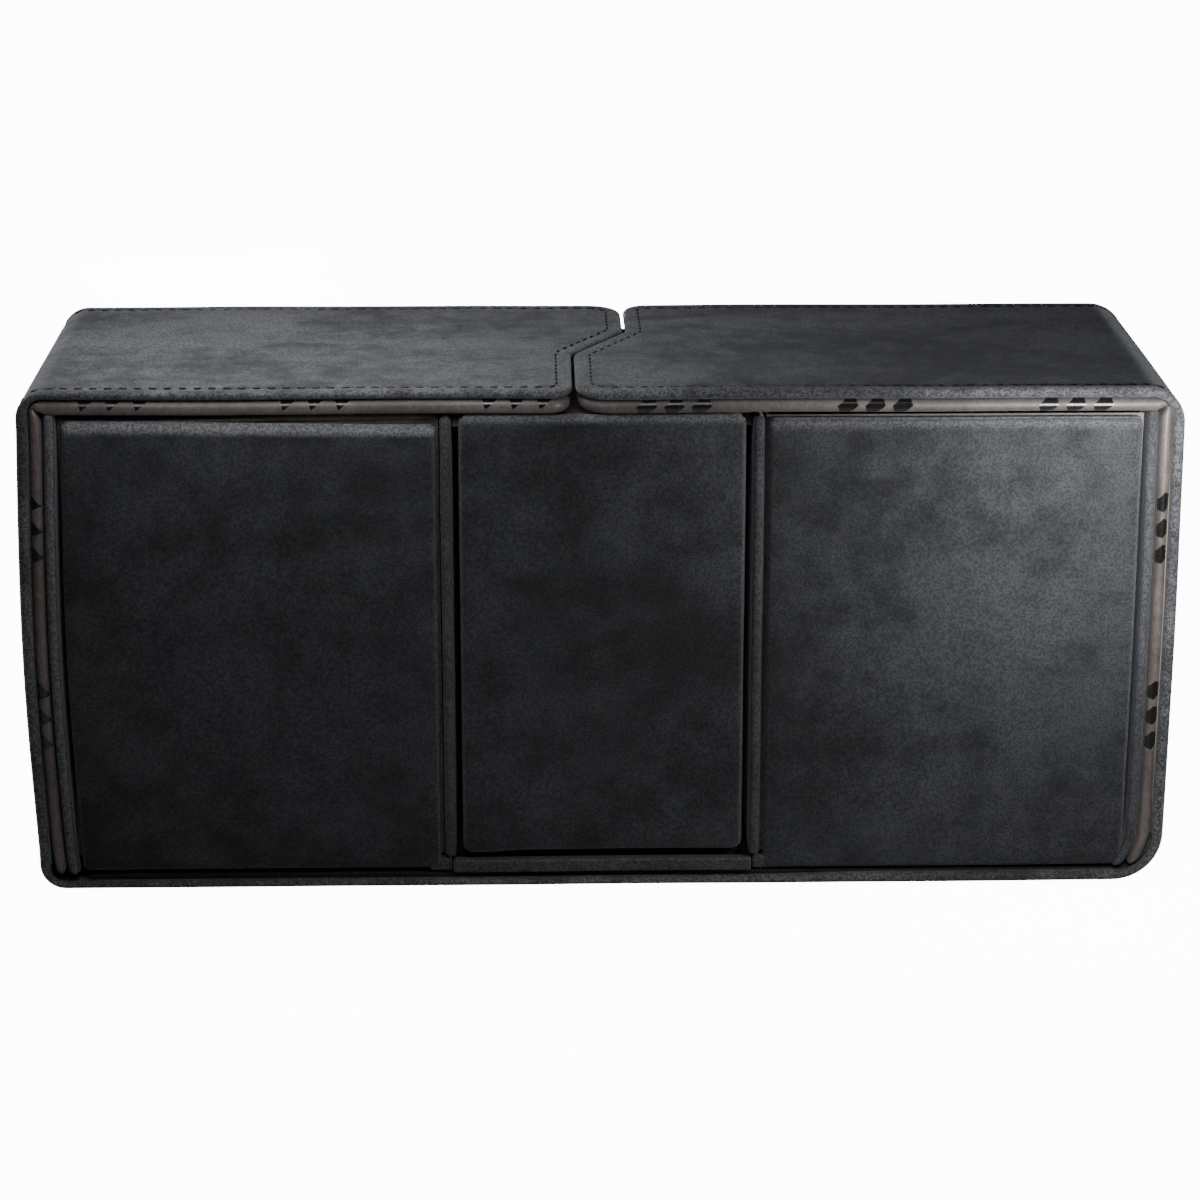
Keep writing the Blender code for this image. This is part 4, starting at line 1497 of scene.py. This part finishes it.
@dataclass
class InnerCase:
    """The walls of the case: outer walls, dividers, front panels, back and the sill under the drawer."""

    finishes: Finishes
    back_rise: float = 1.0 * MM  # the back's and the outer walls' soft tops reach the flaps' linings
    wall_rise: float = 1.25 * MM
    # painted highlight on the lit front ridges of the outer walls and dividers, stronger on the left outer
    # wall
    strip_wear: float = 0.36
    left_wall_wear: float = 0.62
    face_gap: float = 0.85 * MM
    lips: dict[Side, Lip] = field(default_factory=lambda: by_side(Lip(0.42 * MM, 0.85 * MM),
                                                                  Lip(-0.5 * MM, 0.1 * MM)))
    gap_below: dict[Side, float] = field(default_factory=lambda: by_side(0.85 * MM, 0.3 * MM))
    gap_beside: dict[Side, float] = field(default_factory=lambda: by_side(0.65 * MM, 0.2 * MM))

    def _place(self, piece: bpy.types.Object, slot: str, *nodes: str) -> bpy.types.Object:
        """Puts a piece on the case's body in place of CAD nodes."""
        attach(piece, "case")
        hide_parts(*nodes)
        return piece

    def wall(self, side: Side, kind: str) -> bpy.types.Object:
        """An outer wall or a divider, with a rounded front edge."""
        node = f"{side.label}_{kind}"
        outer = kind == "outer_wall"
        wear = self.left_wall_wear if outer and side is Side.LEFT else self.strip_wear
        slab = SoftSlab.of_nodes(node, rounding=1.12 * MM, ridge_wear=wear)
        slab.high.z += self.wall_rise if outer else 0.0
        return self._place(slab.build(node + "_soft", self.finishes.case, hand=CURLED), "suede", node)

    def front_panel(self, side: Side) -> bpy.types.Object:
        """A front panel with its rolled rim, and its foot under the divider."""
        node = f"{side.label}_front_panel"
        low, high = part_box(node)
        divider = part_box(f"{side.label}_divider")
        foot_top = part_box("case_floor")[1].z
        sign = side.value
        face_inner = max(abs(divider[0].x), abs(divider[1].x)) + self.face_gap
        outer = max(abs(low.x), abs(high.x)) - self.gap_beside[side]
        inner = min(abs(low.x), abs(high.x))
        ends = sorted((sign * face_inner, sign * outer))
        foot_ends = sorted((sign * inner, sign * (face_inner + 2.5 * MM)))
        raised = low.z + self.gap_below[side]
        # the rolled top is painted paler as a highlight where the light from above catches it, most on the
        # left panel
        face = SoftSlab(Vector((ends[0], low.y, raised)), Vector((ends[1], high.y, high.z)), 1.0 * MM,
                        roll=0.45 * MM, top_roll=1.15 * MM, roll_reach=3.4 * MM, crown=0.25 * MM,
                        top_wear=1.0 if side is Side.LEFT else 0.55, corner=1.3 * MM,
                        top_droop=1.1 * MM if side is Side.LEFT else 0.0)
        foot = SoftSlab(Vector((foot_ends[0], low.y + 0.6 * MM, low.z + 0.3 * MM)),
                        Vector((foot_ends[1], high.y, foot_top)), 0.45 * MM)
        return self._place(face.build(node + "_soft", self.finishes.case, foot), "suede", node)

    def back(self) -> bpy.types.Object:
        """The closed back."""
        slab = SoftSlab.of_nodes("back_panel", rounding=0.8 * MM, step=5 * MM)
        slab.high.z += self.back_rise
        return self._place(slab.build("back_panel_soft", self.finishes.case), "suede", "back_panel")

    def sill(self) -> bpy.types.Object:
        """The low rail under the drawer."""
        slab = SoftSlab.of_nodes("bay_sill", rounding=0.45 * MM)
        return self._place(slab.build("bay_sill_soft", self.finishes.case), "suede", "bay_sill")

    def ledge(self) -> bpy.types.Object:
        """The lined ledge over the drawer, which the flaps rest on."""
        slab = SoftSlab.of_nodes("ledge_lining", rounding=0.25 * MM)
        return self._place(slab.build("ledge_lining_soft", self.finishes.liner), "lining", "ledge_lining")

    def lip(self, side: Side) -> bpy.types.Object:
        """The lining's rolled lip along the top of a front wall, which rises towards the divider."""
        low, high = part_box(f"{side.label}_liner")
        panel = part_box(f"{side.label}_front_panel")
        lip = self.lips[side]
        inner = min(abs(low.x), abs(high.x)) + 0.6 * MM
        outer = max(abs(low.x), abs(high.x)) - 0.6 * MM
        mesh = bmesh.new()
        layer = edge_layer(mesh)
        rows = []
        for index in range(lip.count + 1):
            share = index / lip.count
            x = side.value * (inner + (outer - inner) * share)
            rise = lip.rise - lip.sink * clamp(2.2 * share - 0.9)
            end = math.sin(math.pi * min(max(share, 0.02), 0.98)) ** 0.12  # thins out at both ends
            centre = Vector((x, panel[1].y + 0.25 * MM, high.z - lip.radius + 0.14 * MM + rise))
            row = []
            for step in range(lip.around):
                angle = 2 * math.pi * step / lip.around
                out = Vector((0, math.cos(angle), math.sin(angle))) * lip.radius * end
                row.append(mesh.verts.new(centre + out))
                row[-1][layer] = 0.5
            rows.append(row)
        for first, second in zip(rows, rows[1:]):
            bridge(mesh, first, second)
        mesh.faces.new(list(reversed(rows[0])))
        mesh.faces.new(rows[-1])
        piece = make_object(f"{side.label}_front_lip", mesh, self.finishes.liner)
        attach(piece, "case")
        return piece

    def build(self) -> list[bpy.types.Object]:
        """Builds every wall of the case."""
        pieces = [self.back(), self.sill(), self.ledge()]
        for side in Side:
            pieces += [self.wall(side, "outer_wall"), self.wall(side, "divider"), self.front_panel(side),
                       self.lip(side)]
        return pieces


@dataclass
class Drawer:
    """The drawer's front; its box keeps the CAD's shape."""

    finishes: Finishes
    gap_below: float = 0.7 * MM
    gap_beside: float = 0.4 * MM

    def build(self) -> bpy.types.Object:
        """Builds the drawer's padded-looking front on the drawer's body."""
        # the rolled top gets a painted highlight too
        slab = SoftSlab.of_nodes("drawer_front", rounding=1.1 * MM, step=4 * MM, roll=0.3 * MM,
                                 top_roll=0.5 * MM, roll_reach=2.6 * MM, crown=0.3 * MM, top_wear=0.6,
                                 corner=1.9 * MM, droop=0.55 * MM)
        slab.low += Vector((self.gap_beside, 0.0, self.gap_below))
        slab.high.x -= self.gap_beside
        piece = slab.build("drawer_front_soft", self.finishes.case)
        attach(piece, "drawer")
        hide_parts("drawer_front")
        return piece


@dataclass
class CarriedOver:
    """The CAD nodes that stay as they are, each with its finish."""

    finishes: Finishes

    def dress(self, nodes: dict[str, bpy.types.Object]) -> None:
        """Gives each CAD node its material.

        Args:
            nodes: the CAD nodes by name.
        """
        for name, item in nodes.items():
            if "magnet" in name:
                finish = self.finishes.nickel
            # the base board, the bay's liner and the case floor get the near-black painted shade
            elif name in ("base_board", "bay_liner", "case_floor"):
                finish = self.finishes.wrap
            elif "board" in name:
                finish = self.finishes.board
            elif "lin" in name or "gutter" in name:
                finish = self.finishes.liner
            else:
                finish = self.finishes.case
            item.data.materials.clear()
            item.data.materials.append(finish)


# ---------------------------------------------------------------- studio


@dataclass(frozen=True)
class SoftLight:
    """A soft light, square or, given a length, a strip."""

    name: str
    place: tuple[float, float, float]
    aim: tuple[float, float, float]
    size: float
    power: float
    spread: float = 180.0
    length: float = 0.0

    def build(self) -> None:
        """Adds the light to the scene."""
        lamp = bpy.data.lights.new(self.name, "AREA")
        lamp.shape = "RECTANGLE"
        lamp.size = self.length or self.size
        lamp.size_y = self.size
        lamp.energy = self.power
        lamp.spread = math.radians(self.spread)
        item = bpy.data.objects.new(self.name, lamp)
        item.location = self.place
        way = Vector(self.aim) - Vector(self.place)
        item.rotation_euler = way.to_track_quat("-Z", "Y").to_euler()
        item.visible_camera = False
        bpy.context.scene.collection.objects.link(item)


@dataclass
class Studio:
    """A pale floor, a pale surround, soft lights and the camera."""

    floor_half: float = 4.0
    floor_drop: float = 1.25 * MM  # opened panels, softly bowed, dip a little under the base
    fill: float = 0.012
    surround: float = 14.0
    floor_glow: float = 13.0
    floor_tone: float = 0.72
    camera_place: tuple[float, float, float] = (-0.0141, -0.6982, 0.2768)
    camera_pitch: float = 17.9
    camera_yaw: float = 1.18
    lens: float = 100.5
    lights: tuple[SoftLight, ...] = (
        SoftLight("left_top_softbox", (-0.078, -0.01, 0.22), (-0.072, 0.0, 0.108), 0.08, 0.265),
        SoftLight("right_front_softbox", (0.114, -0.112, 0.103), (0.108, -0.038, 0.095), 0.03, 0.175, 150.0),
        SoftLight("front_top_softbox", (0.0, -0.24, 0.30), (0.0, -0.05, 0.06), 0.12, 0.091, 100.0),
        SoftLight("front_edge_strip", (-0.066, -0.07, 0.135), (-0.066, -0.038, 0.098), 0.02, 0.030,
                  length=0.09),
        SoftLight("back_softbox", (-0.15, 0.62, 0.05), (0.0, 0.04, 0.055), 0.10, 0.30, 60.0),
        SoftLight("right_side_softbox", (0.66, 0.24, 0.05), (0.12, 0.0, 0.055), 0.10, 0.30, 60.0),
        SoftLight("left_side_softbox", (-0.66, 0.24, 0.05), (-0.12, 0.0, 0.055), 0.10, 0.26, 60.0),
    )

    def _floor(self) -> None:
        """A wide pale floor, which glows a little for the camera so that it reads as paper white."""
        data = bpy.data.meshes.new("studio_floor")
        h = self.floor_half
        data.from_pydata([(-h, -h, 0), (h, -h, 0), (h, h, 0), (-h, h, 0)], [], [(0, 1, 2, 3)])
        floor = bpy.data.objects.new("studio_floor", data)
        bpy.context.scene.collection.objects.link(floor)
        floor.location.z = -self.floor_drop
        material, nodes, shader, _place = new_material("studio_paper")
        seen = nodes.add("ShaderNodeLightPath").outputs["Is Camera Ray"]
        tone = (self.floor_tone, self.floor_tone, self.floor_tone, 1.0)
        nodes.fill(shader, Base_Color=tone, Roughness=0.9, Emission_Color=(1.0, 1.0, 1.0, 1.0),
                   Emission_Strength=nodes.math("MULTIPLY", seen, self.floor_glow))
        data.materials.append(material)

    def _world(self) -> None:
        """Even light from all round, shown to the camera as white."""
        world = bpy.data.worlds.new("studio_surround")
        world.use_nodes = True
        nodes = NodeTree(world.node_tree)
        seen = nodes.add("ShaderNodeLightPath").outputs["Is Camera Ray"]
        strength = nodes.math("ADD", self.fill, nodes.math("MULTIPLY", seen, self.surround))
        nodes.fill(world.node_tree.nodes["Background"], Color=(1.0, 1.0, 1.0, 1.0), Strength=strength)
        bpy.context.scene.world = world

    def _camera(self) -> None:
        """The camera in front of the box, a little above it."""
        lens = bpy.data.cameras.new("camera")
        lens.lens = self.lens
        lens.sensor_width = 36.0
        lens.clip_start = 0.01
        camera = bpy.data.objects.new("camera", lens)
        camera.location = self.camera_place
        camera.rotation_euler = (math.radians(90 - self.camera_pitch), 0.0, -math.radians(self.camera_yaw))
        bpy.context.scene.collection.objects.link(camera)
        bpy.context.scene.camera = camera

    def build(self) -> None:
        """Builds the studio."""
        self._floor()
        self._world()
        self._camera()
        for light in self.lights:
            light.build()


# ---------------------------------------------------------------- the whole


def report(pieces: Sequence[bpy.types.Object]) -> None:
    """Logs each piece with its number of faces."""
    for piece in pieces:
        log.info("%s: %d faces", piece.name, len(piece.data.polygons))


def main() -> None:
    """Builds the box's looks in order."""
    logging.basicConfig(level=logging.INFO, format="%(name)s: %(message)s")
    noise.seed_set(HAND_SEED)  # without it the hand's field would differ from run to run
    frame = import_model()
    Studio().build()
    finishes = Finishes()
    CarriedOver(finishes).dress(frame["nodes"])
    sizes = CoverSizes()
    stitching = Stitching(sizes, finishes)
    report([BaseSkin(sizes, finishes).build(), stitching.base()])
    for side in Side:
        report([FlapSkin(side, sizes, finishes).build(), SideSkin(side, sizes, finishes).build()])
        report([Gutter(side, upper, sizes, finishes).build() for upper in (True, False)])
        report(LiningPads(side, sizes, finishes).build())
        report([stitching.flap(side), stitching.side(side)])
    report(InnerCase(finishes).build())
    report([Drawer(finishes).build()])


if __name__ == "__main__":
    main()
